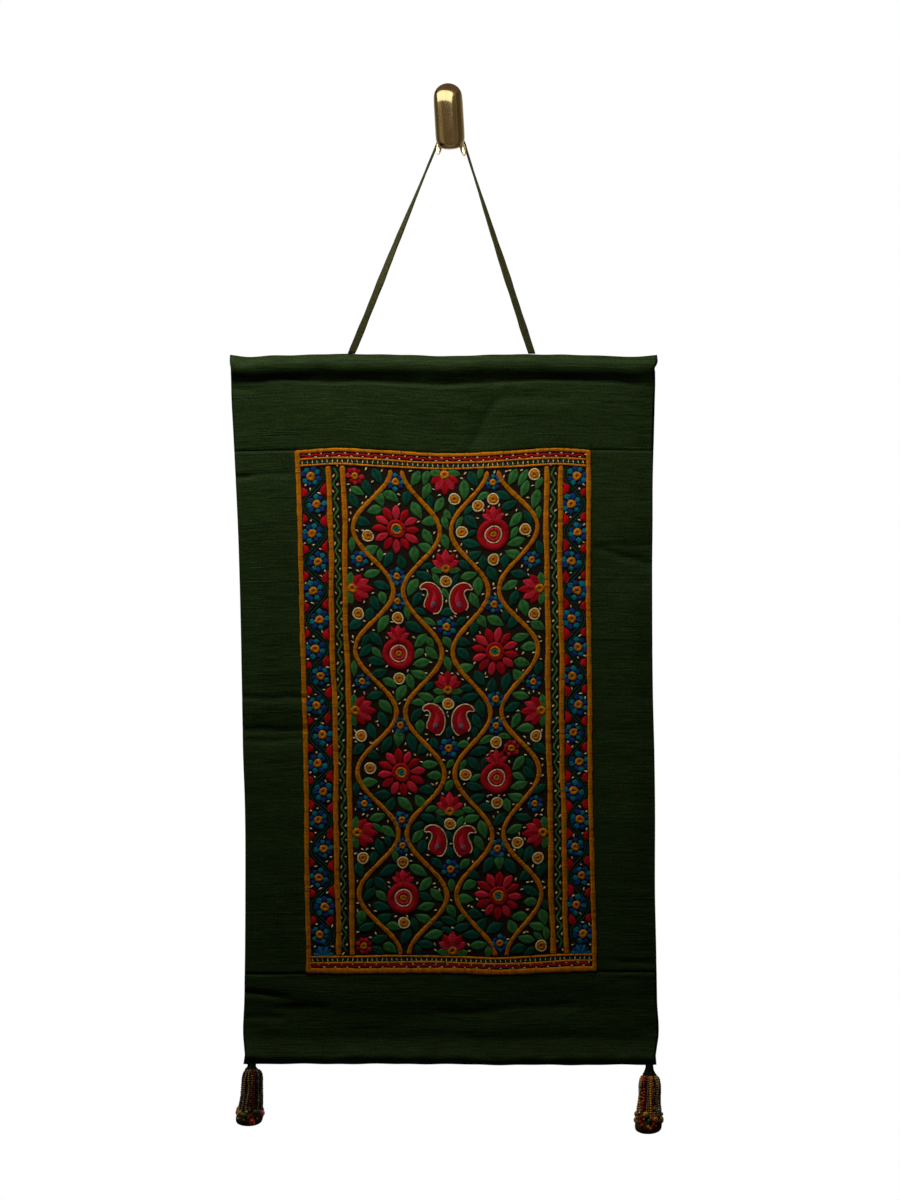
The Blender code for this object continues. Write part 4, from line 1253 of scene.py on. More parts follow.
def border_leaves(edge, inward, limits, down, seed):
    """Between flowers a red leaf sits on each bar, taller and more pointed on the inner one."""
    between = (down[1:] + down[:-1]) / 2
    for number, height in enumerate(between):
        chance = shuffle(4 * number + np.arange(4), seed)
        from_left = number % 2 == 0
        outer_bar, inner_bar = edge + inward * (limits[0] + 0.15), edge + inward * (limits[1] + 0.05)
        lift = (1.2 if from_left else -1.0) + 1.2 * (chance[0] - 0.5)
        length, depth = 5.2 + 1.8 * chance[1], 3.6 + 0.9 * chance[2]
        shape = half_leaf(length, depth, inward, number, 0.85 + 0.4 * chance[3], 0.7)
        lay("border_red", shape, [(outer_bar, height + lift)], 0.12 * (chance[0] - 0.5))
        lift = (-0.8 if from_left else 1.2) + 1.4 * (chance[3] - 0.5)
        if chance[1] < 0.3:
            shape = leaf(9.4, 2.4, 0.4, number)
            start = (inner_bar - inward * 1.6, height + lift - 4.8)
            lay("border_red", shape, [start], math.pi / 2 + inward * (0.16 + 0.2 * chance[2]))
        else:
            depth = 4.3 + 0.9 * chance[0]
            shape = half_leaf(9.2 + 2.2 * chance[2], depth, -inward, number, 0.75 + 0.6 * chance[1], 1.25)
            lay("border_red", shape, [(inner_bar, height + lift)], 0.1 * (chance[2] - 0.5))


def flower_band(edge, inward, middle, side_step, limits, seed):
    """Flowers stepping from side to side, a double vine winding between them, and red leaves."""
    down = np.linspace(FLOWER_FIRST, FLOWER_LAST, FLOWER_COUNT)
    stray = stray_of(down, seed + 9.0)
    across = edge + inward * (middle + side_in_turn(down) * side_step + 0.5 * stray)
    for index, centre in enumerate(zip(across, down + stray)):
        small_flower(centre, 0.39 * index + seed, ("blue", "turquoise"), 1.0 + 0.1 * stray[index])
    border_leaves(edge, inward, limits, down, seed)
    pitch = down[1] - down[0]
    v = np.arange(FIELD_TOP + 1.0, FLOWER_LAST + 9.0, 1.2)
    swing = np.cos((v - FLOWER_FIRST) / pitch * math.pi)
    vine = edge + inward * ((limits[0] + limits[1]) / 2 + swing * (limits[1] - limits[0] - 3.6) / 2)
    slope = np.gradient(vine, v)
    lean = np.hypot(slope, 1.0)
    for shift in (-1.05, 1.05):
        route = join(vine + shift / lean, v - shift * slope / lean)
        run_stitches("teal", route, 1.3, 0.25, 0.52, 0.75)
    fan = (edge + inward * (limits[0] + limits[1]) / 2, FIELD_BOTTOM + 0.4)
    turns = np.radians(np.linspace(-168.0, -12.0, 7))
    for colour, first in (("turquoise", 0), ("blue", 1)):
        lay(colour, petal(7.4, 1.7, 0.8, 1.1, 0.6, 3), [fan] * len(turns[first::2]), turns[first::2])


def border_knots(edge, inward, limits, seed):
    """Cream knots wherever the flower band still shows its ground."""
    us = edge + inward * np.arange(limits[0] + 1.4, limits[1] - 1.0, BORDER_KNOT_STEP)
    u, v = spots_on_grid(us, np.arange(FIELD_TOP + 1.5, FIELD_BOTTOM - 1.0, BORDER_KNOT_STEP))
    free = free_space(join(u, v))
    spots = []
    while free.max() > BORDER_KNOT_ROOM:
        best = int(free.argmax())
        spots.append((u[best], v[best]))
        free = np.minimum(free, np.hypot(u - u[best], v - v[best]) - BORDER_KNOT_REACH)
    number = np.arange(len(spots))
    lay_knots(spots, 6.3 * shuffle(number, seed), 0.80 + 0.3 * shuffle(number, seed + 1.0))
    return len(spots)


for index, (edge, inward, middle, side_step, limits) in enumerate(FLOWER_BANDS):
    flower_band(edge, inward, middle, side_step, limits, 0.3 + index)
    print("knots in a flower band:", border_knots(edge, inward, limits, index))
print("border laid:", {colour: sum(len(batch[0]) for batch in batches) for colour, batches in laid.items()})

# %% [markdown]
# ## The middle field
# The field is a generic pattern of this notebook's own: mustard vines wave from top to foot and
# meet in pointed cells, and the cells hold rosettes, pomegranates, tulips and paisleys. It keeps
# the colours, the scale and the closeness of such work. The vines are sine curves, so the motifs
# are placed from the same few numbers. Leaves and berries could be placed one by one, but a
# hand fills the gaps as it finds them, so a loop looks for the widest gap left and sews there.

# %% Vines
FIELD_LEFT, FIELD_RIGHT = LEFT_EDGE + 36.8, RIGHT_EDGE - 35.2
FIELD_WIDTH, FIELD_HEIGHT = FIELD_RIGHT - FIELD_LEFT, FIELD_BOTTOM - FIELD_TOP
VINES, VINE_ROWS = 4, 4
VINE_SWING, VINE_HALF = 0.80, 1.65
CELL_HEIGHT = FIELD_HEIGHT / VINE_ROWS
GREENS = ("leaf_green", "teal_green")
UP, DOWN = -math.pi / 2, math.pi / 2


def vine_u(number, v):
    """Where a vine crosses a height: a cosine about its own middle, and neighbours mirror each other."""
    middle = FIELD_LEFT + FIELD_WIDTH * (number + 0.5) / VINES
    swing = FIELD_WIDTH / (2 * VINES) * VINE_SWING * (-1) ** number
    stray = 0.7 * np.sin(v / 13.0 + 2.0 * number)
    return middle + swing * np.cos((v - FIELD_TOP) / CELL_HEIGHT * 2.0 * math.pi) + stray


for number in range(VINES):
    v = np.linspace(FIELD_TOP + 0.8, FIELD_BOTTOM - 0.6, 70)
    route = join(vine_u(number, v), v)
    lay("mustard_field", bar(route, VINE_HALF, 1.0, 1.05, 0.2, number, rough=0.12, slant=0.5, rib=0.2))

# %% Flowers and fruit
REDS = ("crimson", "pink")
ROSETTE_SIZE, ROSETTE_PETALS = 1.1, 12
# Each motif's rings. Columns: thread, radius, half width, height, pitch, ridge, waver.
RINGS = {
    "berry": (
        ("mustard_field", 1.75, 1.35, 1.0, 0.9, 0.22, 0.05),
        ("cream", 3.75, 0.6, 0.9, 1.25, 0.16, 0.03),
    ),
    "rosette": (
        ("crimson", 5.0, 1.3, 1.2, 1.0, 0.2, 0.03),
        ("mustard_field", 2.9, 1.15, 1.3, 0.95, 0.22, 0.03),
        ("turquoise", 1.15, 0.8, 1.1, 0.8, 0.2, 0.03),
    ),
    "pomegranate": (
        ("crimson", 8.2, 2.3, 1.1, 1.0, 0.2, 0.02),
        ("cream", 5.3, 0.5, 0.95, 1.2, 0.16, 0.02),
        ("pink", 3.6, 1.15, 1.05, 1.0, 0.2, 0.03),
        ("mustard_field", 1.25, 1.05, 1.1, 0.8, 0.2, 0.03),
    ),
    "tulip": (("mustard_field", 1.7, 1.2, 1.2, 0.9, 0.22, 0.03),),
}


def lay_rings(motif, centre, turn, size, seed=0.0):
    """A motif's rings round one centre."""
    for thread, radius, half_width, height, pitch, ridge, waver in RINGS[motif]:
        lay(thread, ring(radius, half_width, height, pitch, ridge, seed, waver), [centre], turn, size)


def petal_fan(base, turn, size, colours, spread, longest, shorter, *form):
    """Five petals from one base, in two colours in turn, the outer ones shorter. The form is the
    petal's half width, height, fullest, blunt and rows."""
    for index, step in enumerate((-2.0, -1.0, 0.0, 1.0, 2.0)):
        shape = petal(longest - abs(step * spread) / shorter, *form, seed=index)
        lay(colours[index % 2], shape, [base], turn + math.radians(step * spread), size)


def berry(centre, seed):
    """A mustard disc with a dark eye, in a cream ring."""
    lay_rings("berry", centre, seed, 1.0, seed)


def rosette(centre, turn):
    """Broad pointed petals, crimson and pink in turn, round rings of crimson, mustard and blue."""
    for number, (spot, angle) in enumerate(zip(*around(centre, 5.6 * ROSETTE_SIZE, ROSETTE_PETALS, turn))):
        grown = ROSETTE_SIZE * (0.94 + 0.14 * shuffle(number, turn))
        shape = petal(10.2, 2.75, 0.9, 1.15, 0.8, 4, seed=number)
        lay(REDS[number % 2], shape, [spot], angle, grown)
    lay_rings("rosette", centre, turn, ROSETTE_SIZE)


def ringed_leaves(centre, radius, count, start, length):
    """Leaves of two greens in turn, standing outwards on a circle."""
    for number, (spot, angle) in enumerate(zip(*around(centre, radius, count, start))):
        chance = shuffle(number + centre[1], 2.0)
        shape = leaf(length * (0.9 + 0.2 * chance), 3.6 + 0.5 * chance, 0.8 * (chance - 0.5), number)
        lay(GREENS[number % 2], shape, [spot], angle + 0.5 * (chance - 0.5))


def pomegranate(centre, turn, size):
    """A crimson rind, a cream line, a pink ring round a mustard heart, and a crown of pointed petals."""
    base = np.array(centre) + 8.6 * size * way_of(turn)
    petal_fan(base, turn, size, REDS[::-1], 28.0, 10.4, 30.0, 2.3, 0.85, 0.95, 0.85, 3)
    lay_rings("pomegranate", centre, turn, size)


def tulip(base, turn, size, colours=REDS):
    """Five petals from one base, two curling sepals and a mustard cup."""
    petal_fan(base, turn, size, colours, 29.0, 12.4, 22.0, 2.9, 0.9, 1.0, 0.85, 4)
    for side in (-1.0, 1.0):
        lay("leaf_green", leaf(9.5, 2.5, side * 0.8, side), [base], turn + side * 1.6, size)
    lay_rings("tulip", base, turn, size)


def paisley(centre, size, flip):
    """A drop with a round foot whose tip curls over, with a second colour inside and a cream edge. Its
    middle line turns faster and faster as it climbs."""
    share = np.linspace(0.0, 1.0, 40)
    heading = UP + flip * (3.1 * share**2.2 - 0.5)
    step = 0.64 * size
    path = np.cumsum(join(np.cos(heading), np.sin(heading)) * step, axis=0)
    path = path - path[12] + np.array(centre)
    width = size * 5.3 * np.sin(math.pi * np.clip(share, 0.004, 0.985) ** 0.45) ** 0.8
    lay("crimson", mound(path, width, 0.9, 0.18, lengthwise=6, seed=size))
    core = path[4:26]
    heart = size * 2.4 * np.sin(math.pi * np.linspace(0.05, 0.97, len(core)) ** 0.6) ** 0.7
    lay("pink", mound(core, heart, 1.25, 0.18, lengthwise=3, seed=2.0), fills=False)
    aside = join(-np.sin(heading), np.cos(heading)) * (width + 0.55)[:, None]
    lay("cream", bar(np.vstack((path + aside, (path - aside)[::-1]))[::2], 0.5, 0.8, 1.25, 0.16, seed=size))
    lay("turquoise", ring(0.95, 0.75, 1.5, 0.8, 0.15), [path[9]], 0.0, size, False)


def star(centre, turn, size):
    """The border's small flower again, with its two blues changed round."""
    small_flower(centre, turn, ("turquoise", "blue"), size)


# %% Motifs in the cells
# Leaves beside a pomegranate. Columns: how far down, how much each turns upwards.
POMEGRANATE_LEAVES = ((9.0, 0.75), (-3.5, 1.35), (13.5, 0.15))
middle_u = FIELD_LEFT + FIELD_WIDTH / 2
for column in (1, 3):
    for row in range(VINE_ROWS):
        centre = np.array((FIELD_LEFT + FIELD_WIDTH * column / 4, FIELD_TOP + CELL_HEIGHT * (row + 0.5)))
        centre += 1.2 * (shuffle(np.array((row, row + 9.0)), column) - 0.5)
        if (row + column // 2) % 2 == 0:
            rosette(centre, 0.2 * row)
            ringed_leaves(centre, 18.4, 7, math.pi / 8 + 0.2 * row + math.pi / 16, 12.0)
            star(centre - (0.0, 34.0), 0.3 * row, 0.90)
            star(centre + (0.0, 34.0), 0.5 * row, 0.85)
        else:
            pomegranate(centre + (0.0, 2.5), UP, 1.12)
            for side, (lift, tilt) in itertools.product((-1.0, 1.0), POMEGRANATE_LEAVES):
                colour = GREENS[(int(side > 0) + int(lift)) % 2]
                start = centre + (side * (12.6 - abs(lift) / 3.0), lift + 1.0)
                turn = UP + side * (math.pi / 2 - tilt + 0.5)
                lay(colour, leaf(13.5, 3.7, side * 0.6, lift), [start], turn)
            berry(centre - (0.0, 23.0), row)
            berry(centre + (0.0, 20.5), row + 2.0)
            star(centre - (0.0, 35.0), 0.3 * row, 0.80)
for row in range(1, VINE_ROWS):
    centre = np.array((middle_u, FIELD_TOP + CELL_HEIGHT * row))
    for side in (-1.0, 1.0):
        paisley(centre + (side * 8.6, 7.0), 1.1, side)
    tulip(centre - (0.0, 16.5), UP, 1.15, REDS[::-1] if row % 2 else REDS)
    star(centre + (0.0, 25.5), 0.4 * row, 0.95)
    for side in (-1.0, 1.0):
        tulip(centre + (side * (FIELD_WIDTH / 2 - 2.0), 0.0), math.pi / 2 * (1.0 + side), 1.25)
        star(centre + (side * (FIELD_WIDTH / 2 - 7.5), -21.0), 0.2, 0.8)
        berry(centre + (side * (FIELD_WIDTH / 2 - 6.0), 18.0), row)
tulip((middle_u, FIELD_TOP + 3.2), DOWN, 1.2)
tulip((middle_u, FIELD_BOTTOM - 3.2), UP, 1.2, REDS[::-1])


# %% Leaves along the vines
LEAF_CLEARANCE, LEAF_OFF, LEAF_STEP = 0.35, 0.2, 4.6
# Sizes to try in turn. Columns: length, half width, turn away from the vine.
VINE_LEAVES = ((15.0, 4.0, 0.9), (13.0, 3.5, 1.15), (11.0, 3.0, 0.75), (8.5, 2.5, 1.0))


def leaf_room(start, turn, length, half_width):
    """How clear a leaf would lie: the least free space along its length beyond its own half width."""
    share = np.array((0.3, 0.5, 0.7, 0.95))
    spots = np.array(start) + length * share[:, None] * way_of(turn)
    inside = (spots[:, 0] > FIELD_LEFT) & (spots[:, 0] < FIELD_RIGHT)
    if not inside.all() or spots[:, 1].min() < FIELD_TOP or spots[:, 1].max() > FIELD_BOTTOM:
        return -1.0
    return float((free_space(spots) - half_width * np.sin(math.pi * share)).min())


def vine_leaves(number):
    """Leaves in turn on both sides of a vine, slanting upwards, wherever one fits."""
    sewn = 0
    for index, v in enumerate(np.arange(FIELD_TOP + 9.0, FIELD_BOTTOM - 2.0, LEAF_STEP)):
        u = vine_u(number, v)
        heading = math.atan2(-1.0, -float(vine_u(number, v + 0.5) - vine_u(number, v - 0.5)))
        for side in (-1.0, 1.0):
            for length, half_width, tilt in VINE_LEAVES:
                turn = heading + side * tilt
                start = (u, v) + (VINE_HALF + LEAF_OFF) * way_of(turn)
                if leaf_room(start, turn, length, half_width) > LEAF_CLEARANCE:
                    shape = leaf(length, half_width, 0.7 * side, index)
                    lay(GREENS[(index + int(side > 0)) % 2], shape, [start], turn)
                    sewn += 1
                    break
    return sewn


print("leaves on the vines:", [vine_leaves(number) for number in range(VINES)])

# %% Fill the gaps
GAP_STEP = 1.7
STAR_ROOM, BERRY_ROOM, LEAF_ROOM = 6.1, 5.6, 2.6
STAR_REACH, BERRY_REACH = 6.6, 4.4
# A leaf is laid the way that is most open at this distance to both sides of its middle.
LOOK_OUT = np.array((-5.0, 5.0))
GAP_TURNS = np.radians(np.arange(0.0, 180.0, 15.0))


def fill_gaps():
    """Sew into the widest gap again and again: a red flower, a berry, or a leaf along the gap."""
    us = np.arange(FIELD_LEFT + 2.0, FIELD_RIGHT - 1.0, GAP_STEP)
    u, v = spots_on_grid(us, np.arange(FIELD_TOP + 2.0, FIELD_BOTTOM - 1.5, GAP_STEP))
    free = free_space(join(u, v))
    edge = np.minimum(np.minimum(u - FIELD_LEFT + 1.0, FIELD_RIGHT + 1.0 - u), FIELD_BOTTOM - v)
    free = np.minimum(free, edge)
    sewn = {"star": 0, "berry": 0, "leaf": 0}
    while free.max() > LEAF_ROOM:
        best = int(free.argmax())
        spot, room = np.array((u[best], v[best])), free[best]
        if room > STAR_ROOM:
            small_flower(spot, spot[1], REDS, 0.85)
            sewn["star"] += 1
            marks = [(spot, STAR_REACH)]
        elif room > BERRY_ROOM:
            berry(spot, spot[0])
            sewn["berry"] += 1
            marks = [(spot, BERRY_REACH)]
        else:
            ways = join(np.cos(GAP_TURNS), np.sin(GAP_TURNS))
            ends = spot + LOOK_OUT[:, None, None] * ways[None]
            opened = free_space(ends.reshape(-1, 2)).reshape(2, -1).min(0)
            way = int(opened.argmax())
            half = float(np.clip(4.8 + opened[way], 3.8, 7.6))
            turn = GAP_TURNS[way] + math.pi * (ways[way, 1] > 0)
            start = spot - half * way_of(turn)
            wide = min(room - LEAF_CLEARANCE, 3.9)
            number = sewn["leaf"]
            lay(GREENS[number % 2], leaf(2.0 * half, wide, 0.5 * math.sin(number), number), [start], turn)
            sewn["leaf"] += 1
            shares = (-0.7, -0.35, 0.0, 0.35, 0.7)
            marks = [(spot + half * share * ways[way], wide * (1.0 - share**2)) for share in shares]
        for mark, reach in marks:
            free = np.minimum(free, np.hypot(u - mark[0], v - mark[1]) - reach)
    return sewn


print("sewn into gaps:", fill_gaps())

# %% Cream knots in the gaps
KNOT_SPACING = 4.0
KNOT_CLEARANCE = 0.90


def scatter_knots():
    """Knots on a shaken grid, kept only where no stitch lies within their clearance."""
    us = np.arange(FIELD_LEFT + 1.5, FIELD_RIGHT - 1.0, KNOT_SPACING)
    u, v = spots_on_grid(us, np.arange(FIELD_TOP + 2.0, FIELD_BOTTOM - 1.5, KNOT_SPACING))
    number = np.arange(len(u))
    spots = join(u + 2.0 * (shuffle(number, 1.0) - 0.5), v + 2.0 * (shuffle(number, 2.0) - 0.5))
    kept = (free_space(spots) > KNOT_CLEARANCE) & (shuffle(number, 7.0) < 0.85)
    spots = spots[kept]
    turn, size = 6.3 * shuffle(number[kept], 5.0), 0.80 + 0.2 * shuffle(number[kept], 6.0)
    lay("cream", LONG_KNOT, spots, turn, size)
    return len(spots)


print("knots scattered:", scatter_knots())

# %% [markdown]
# ## Threads
# The threads are soft twisted cotton, dyed strong colours. Each colour is its own material, made
# by one function: the same group gives every thread its twist, its fuzz and its own slightly
# lighter or darker tone, and only the colour differs.

# %% Thread group
def make_thread_group():
    """Tone and height of laid thread, from each point's way along, way across and own tone."""
    tree, given, result = new_group(
        "laid_thread", [("Place", VECTOR, None), ("Twist", FLOAT, 3.0)], [("Tone", FLOAT), ("Height", FLOAT)]
    )
    place = given.outputs["Place"]
    parts = add_node(tree, "ShaderNodeSeparateXYZ", {0: place})
    slant = sums(tree, "ADD", parts.outputs["X"], sums(tree, "MULTIPLY", parts.outputs["Y"], 0.6))
    twist = sums(tree, "SINE", sums(tree, "MULTIPLY", slant, given.outputs["Twist"]))
    fuzz = stretched_noise(tree, place, (1.6, 0.9, 20.0))
    dye = stretched_noise(tree, place, (0.25, 0.4, 3.0), 1.0)
    tone = ranged(tree, parts.outputs["Z"], 0.0, 1.0, 0.05, 0.85)
    for noise in (fuzz, dye):
        tone = sums(tree, "ADD", tone, ranged(tree, noise, 0.3, 0.7, -0.14, 0.14))
    feed(result, Tone=tone, Height=sums(tree, "ADD", sums(tree, "MULTIPLY", twist, 0.35), fuzz))
    return tree


thread_group = make_thread_group()


def make_thread(name, colour):
    """Stranded cotton of one colour, with painted shade: darker where strands sink, so lighter on their tops.
    """
    made, tree, shader = new_material(name, 0.70, 0.06)
    thread = use_group(tree, thread_group, Twist=4.0)
    shade = np.array(colour)
    stops = ((0.0, shade * 0.35), (0.25, shade * 0.72), (0.5, shade), (1.0, np.minimum(shade * 1.4, 1.0)))
    feed(shader, Base_Color=ramp(tree, thread["Tone"], stops))
    bumped(tree, shader, thread["Height"], 0.00018)
    return made


# %% Sew every colour down
THREADS = {
    "mustard": (0.72, 0.235, 0.003),
    "mustard_field": (0.70, 0.225, 0.003),
    "crimson": (0.49, 0.0066, 0.014),
    "border_red": (0.56, 0.0040, 0.010),
    "pink": (0.74, 0.025, 0.048),
    "cream": (0.95, 0.74, 0.38),
    "blue": (0.011, 0.058, 0.27),
    "turquoise": (0.004, 0.235, 0.315),
    "teal_green": (0.005, 0.078, 0.046),
    "leaf_green": (0.046, 0.205, 0.048),
    "teal": (0.005, 0.120, 0.080),
}


def on_cloth(points):
    """Move stitches from (u, v, height) onto the front of the hanging cloth, in metres."""
    return cloth(points[..., 0], points[..., 1], EMBROIDERED_HALF + points[..., 2]) * MM


for name, colour in THREADS.items():
    batches = [(on_cloth(points), places, *faces) for points, places, *faces in laid[name]]
    thread = make_thread(name + "_thread", colour)
    make_piece(name + "_stitches", batches, thread, "embroidered_cotton")

# %% [markdown]
# ## The hook
# The hook's front is a domed cap of old brass, with small polished feet below and a plain plate
# on the wall. The cap was drawn from one sheet, so its surface is one smooth loft: an oval
# section carried up its leaning axis. Brass shows its surroundings, so a little unevenness in
# its roughness does more for it than colour.

# %% Metal materials
def make_metal(name, colour, dull, roughness_low, roughness_high, bump):
    """Handled metal: a thin uneven tarnish over the bright colour, and soft wear in its gloss."""
    made, tree, shader = new_material(name, 0.3, 0.5, Metallic=1.0)
    coordinates = add_node(tree, "ShaderNodeTexCoord").outputs["Object"]
    cloud = stretched_noise(tree, coordinates, (260.0, 260.0, 70.0), 3.0)
    smear = stretched_noise(tree, coordinates, (420.0, 420.0, 40.0), 1.0)
    feed(shader, Base_Color=ramp(tree, cloud, ((0.35, dull), (0.65, colour))))
    feed(shader, Roughness=ranged(tree, smear, 0.3, 0.7, roughness_low, roughness_high))
    bumped(tree, shader, smear, bump)
    return made


brass = make_metal("old_brass", (0.29, 0.225, 0.120), (0.25, 0.185, 0.092), 0.13, 0.17, 0.0000015)
wire = make_metal("pale_polished_wire", (0.90, 0.80, 0.60), (0.78, 0.67, 0.46), 0.22, 0.32, 0.000005)
for node in ("hook_plate", "hook_saddle", "hook_claw_left", "hook_claw_right"):
    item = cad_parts[node]
    for entry in item.material_slots:
        entry.material = wire

# %% Brass cap
HOOK_LEAN = math.radians(-3.3)
CAP_AXIS_DEPTH, CAP_FRONT_DEPTH, CAP_BACK_DEPTH = 15.9, 8.6, 1.6
CAP_ROWS, CAP_SIDES = 90, 72
# Columns: way up the outline, half width, share of the front's depth.
CAP_OUTLINE = (
    (-23.95, 0.3, 0.05),
    (-23.8, 2.6, 0.50),
    (-23.3, 5.1, 0.78),
    (-22.4, 7.0, 0.90),
    (-21.2, 8.4, 0.96),
    (-19.4, 9.6, 0.985),
    (-16.6, 10.3, 0.985),
    (-11.0, 10.5, 1.0),
    (2.0, 10.5, 1.0),
    (9.0, 10.5, 0.995),
    (12.0, 10.4, 0.97),
    (14.2, 10.3, 0.925),
    (17.2, 9.7, 0.81),
    (19.8, 8.3, 0.645),
    (21.8, 6.3, 0.46),
    (23.2, 3.7, 0.26),
    (23.8, 1.4, 0.10),
    (23.9, 0.2, 0.02),
)


def make_cap():
    """The domed cap: an oval section, deeper in front than behind, carried up the leaning axis."""
    outline = smooth_route(CAP_OUTLINE, CAP_ROWS)
    turn = full_turn(CAP_SIDES)
    half = np.maximum(outline[:, 1:2], 0.15)
    share = np.maximum(outline[:, 2:3], 0.02)
    sine, cosine = np.sin(turn)[None], np.cos(turn)[None]
    depth = np.where(sine < 0, CAP_FRONT_DEPTH * share, CAP_BACK_DEPTH * np.minimum(1.0, 1.2 * share))
    x, z = half * cosine, outline[:, :1]
    leaned_x = x * math.cos(HOOK_LEAN) + z * math.sin(HOOK_LEAN)
    leaned_z = z * math.cos(HOOK_LEAN) - x * math.sin(HOOK_LEAN)
    points = join(leaned_x, -CAP_AXIS_DEPTH + depth * sine, leaned_z)
    make_tube("brass_cap", points, points, brass, "aged_brass", "hook_cap")


make_cap()

# %% [markdown]
# ## The tassels
# From each lower corner hangs a tassel: strings of small glass beads over a brown wool skirt,
# gathered under a knot of green silk. The beads could be scattered by particles, but strings
# keep their order: one table row gives a string's place round the tassel, its beads and its
# last, larger bead. All beads are copies of one low ball, joined into one mesh.

# %% Bead colours
BEAD_COLOURS = {
    "silver": (0.30, 0.20, 0.085),
    "gold": (0.42, 0.23, 0.045),
    "clear_gold": (0.46, 0.33, 0.10),
    "violet": (0.050, 0.018, 0.030),
    "lilac": (0.34, 0.20, 0.17),
    "cream": (0.55, 0.40, 0.18),
    "dark_red": (0.13, 0.006, 0.004),
    "deep_red": (0.19, 0.006, 0.004),
    "red": (0.78, 0.012, 0.004),
    "navy": (0.007, 0.007, 0.045),
    "olive": (0.20, 0.12, 0.010),
    "brown": (0.075, 0.026, 0.010),
    "black": (0.008, 0.005, 0.004),
    "yellow": (0.85, 0.42, 0.005),
    "orange": (0.85, 0.19, 0.005),
    "green": (0.014, 0.10, 0.012),
    "pink": (0.62, 0.045, 0.10),
    "pearl": (0.62, 0.50, 0.20),
}


HOLLOW_BROWN = (0.015, 0.010, 0.006, 1.0)
WOOL_DARK, WOOL_LIGHT = (0.045, 0.020, 0.007), (0.22, 0.10, 0.033)


def make_beads():
    """Glass beads, coloured by each point's own colour: glossy, and a little browner in random patches."""
    made, tree, shader = new_material("glass_beads", 0.28, 0.28, Coat_Weight=0.06, Coat_Roughness=0.12)
    own = add_node(tree, "ShaderNodeAttribute", attribute_name="bead_colour").outputs["Color"]
    cloud = stretched_noise(tree, place_of(tree), (0.9, 0.9, 0.9))
    share = ranged(tree, cloud, 0.40, 0.68, 0.0, 0.35)
    feed(shader, Base_Color=mix_colours(tree, share, own, HOLLOW_BROWN))
    feed(shader, Roughness=ranged(tree, cloud, 0.3, 0.7, 0.18, 0.45))
    return made


def make_wool():
    """Brown wool: long soft strands running down the skirt."""
    made, tree, shader = new_material("brown_wool", 0.9, 0.05)
    strands = stretched_noise(tree, place_of(tree), (3.2, 0.16, 1.0))
    feed(shader, Base_Color=ramp(tree, strands, ((0.3, WOOL_DARK), (0.7, WOOL_LIGHT))))
    bumped(tree, shader, strands, 0.0005)
    return made


beads, wool = make_beads(), make_wool()

# %% Tassel tables
TASSEL_FRONT, TASSEL_DEPTH_SHARE = 12.0, 0.92
SKIRT_LENGTH = 42.4
# The wool. Columns: drop, radius.
SKIRT_RINGS = ((0.3, 1.0), (0.6, 3.8), (1.8, 5.2), (4.4, 5.7), (10.0, 5.8), (16.0, 5.9), (26.0, 6.4),
               (30.0, 7.6), (33.0, 9.0), (36.5, 9.5), (39.5, 8.7), (41.3, 6.2), (42.1, 3.4), (42.4, 0.8))
# The strings' own middle lines. Columns: drop, radius.
STRAND_SPREAD = ((0.5, 3.4), (0.9, 4.9), (2.2, 6.1), (4.4, 6.7), (8.0, 7.2), (16.0, 7.35), (24.0, 8.0),
                 (31.0, 8.6), (36.0, 8.9), (39.0, 9.4), (42.0, 9.4))
# Strings. Columns: angle round the tassel (270 is the front), bead radius, bead length, colour, colour
# of every fourth bead, drop of the string's end.
LEFT_STRINGS = (
    (190, 0.70, 1.4, "black", "dark_red", 28.5),
    (207, 0.70, 1.4, "black", "violet", 29.5),
    (223, 0.85, 1.5, "silver", "gold", 30.0),
    (236, 0.65, 1.3, "black", "violet", 28.5),
    (250, 0.85, 1.5, "gold", "silver", 30.5),
    (261, 0.60, 1.3, "brown", "black", 31.0),
    (268, 0.62, 1.8, "silver", "dark_red", 31.5),
    (276, 0.60, 1.3, "dark_red", "brown", 33.0),
    (285, 0.78, 1.3, "deep_red", "dark_red", 34.0),
    (297, 0.85, 1.4, "navy", "black", 29.5),
    (311, 0.78, 1.3, "olive", "gold", 30.0),
    (324, 0.60, 1.3, "black", "brown", 29.5),
    (335, 0.70, 1.4, "brown", "dark_red", 30.0),
    (351, 0.75, 1.4, "black", "brown", 31.0),
)
RIGHT_STRINGS = (
    (180, 0.70, 1.4, "yellow", "olive", 25.5),
    (194, 0.85, 1.5, "yellow", "gold", 26.0),
    (209, 0.85, 1.6, "yellow", "olive", 26.0),
    (221, 0.50, 1.5, "black", "cream", 26.0),
    (235, 1.25, 2.1, "red", "deep_red", 29.0),
    (248, 0.50, 1.5, "black", "brown", 26.0),
    (257, 0.72, 1.5, "silver", "lilac", 25.5),
    (265, 0.50, 1.8, "gold", "silver", 29.0),
    (275, 1.05, 1.7, "yellow", "yellow", 30.0),
    (287, 0.65, 1.5, "orange", "deep_red", 33.0),
    (296, 0.62, 1.5, "black", "cream", 26.5),
    (303, 0.50, 1.5, "silver", "black", 28.0),
    (312, 0.90, 1.7, "gold", "cream", 28.5),
    (326, 0.60, 1.7, "pearl", "olive", 29.0),
    (338, 0.50, 1.5, "black", "dark_red", 29.0),
    (350, 0.85, 1.5, "dark_red", "deep_red", 29.5),
)
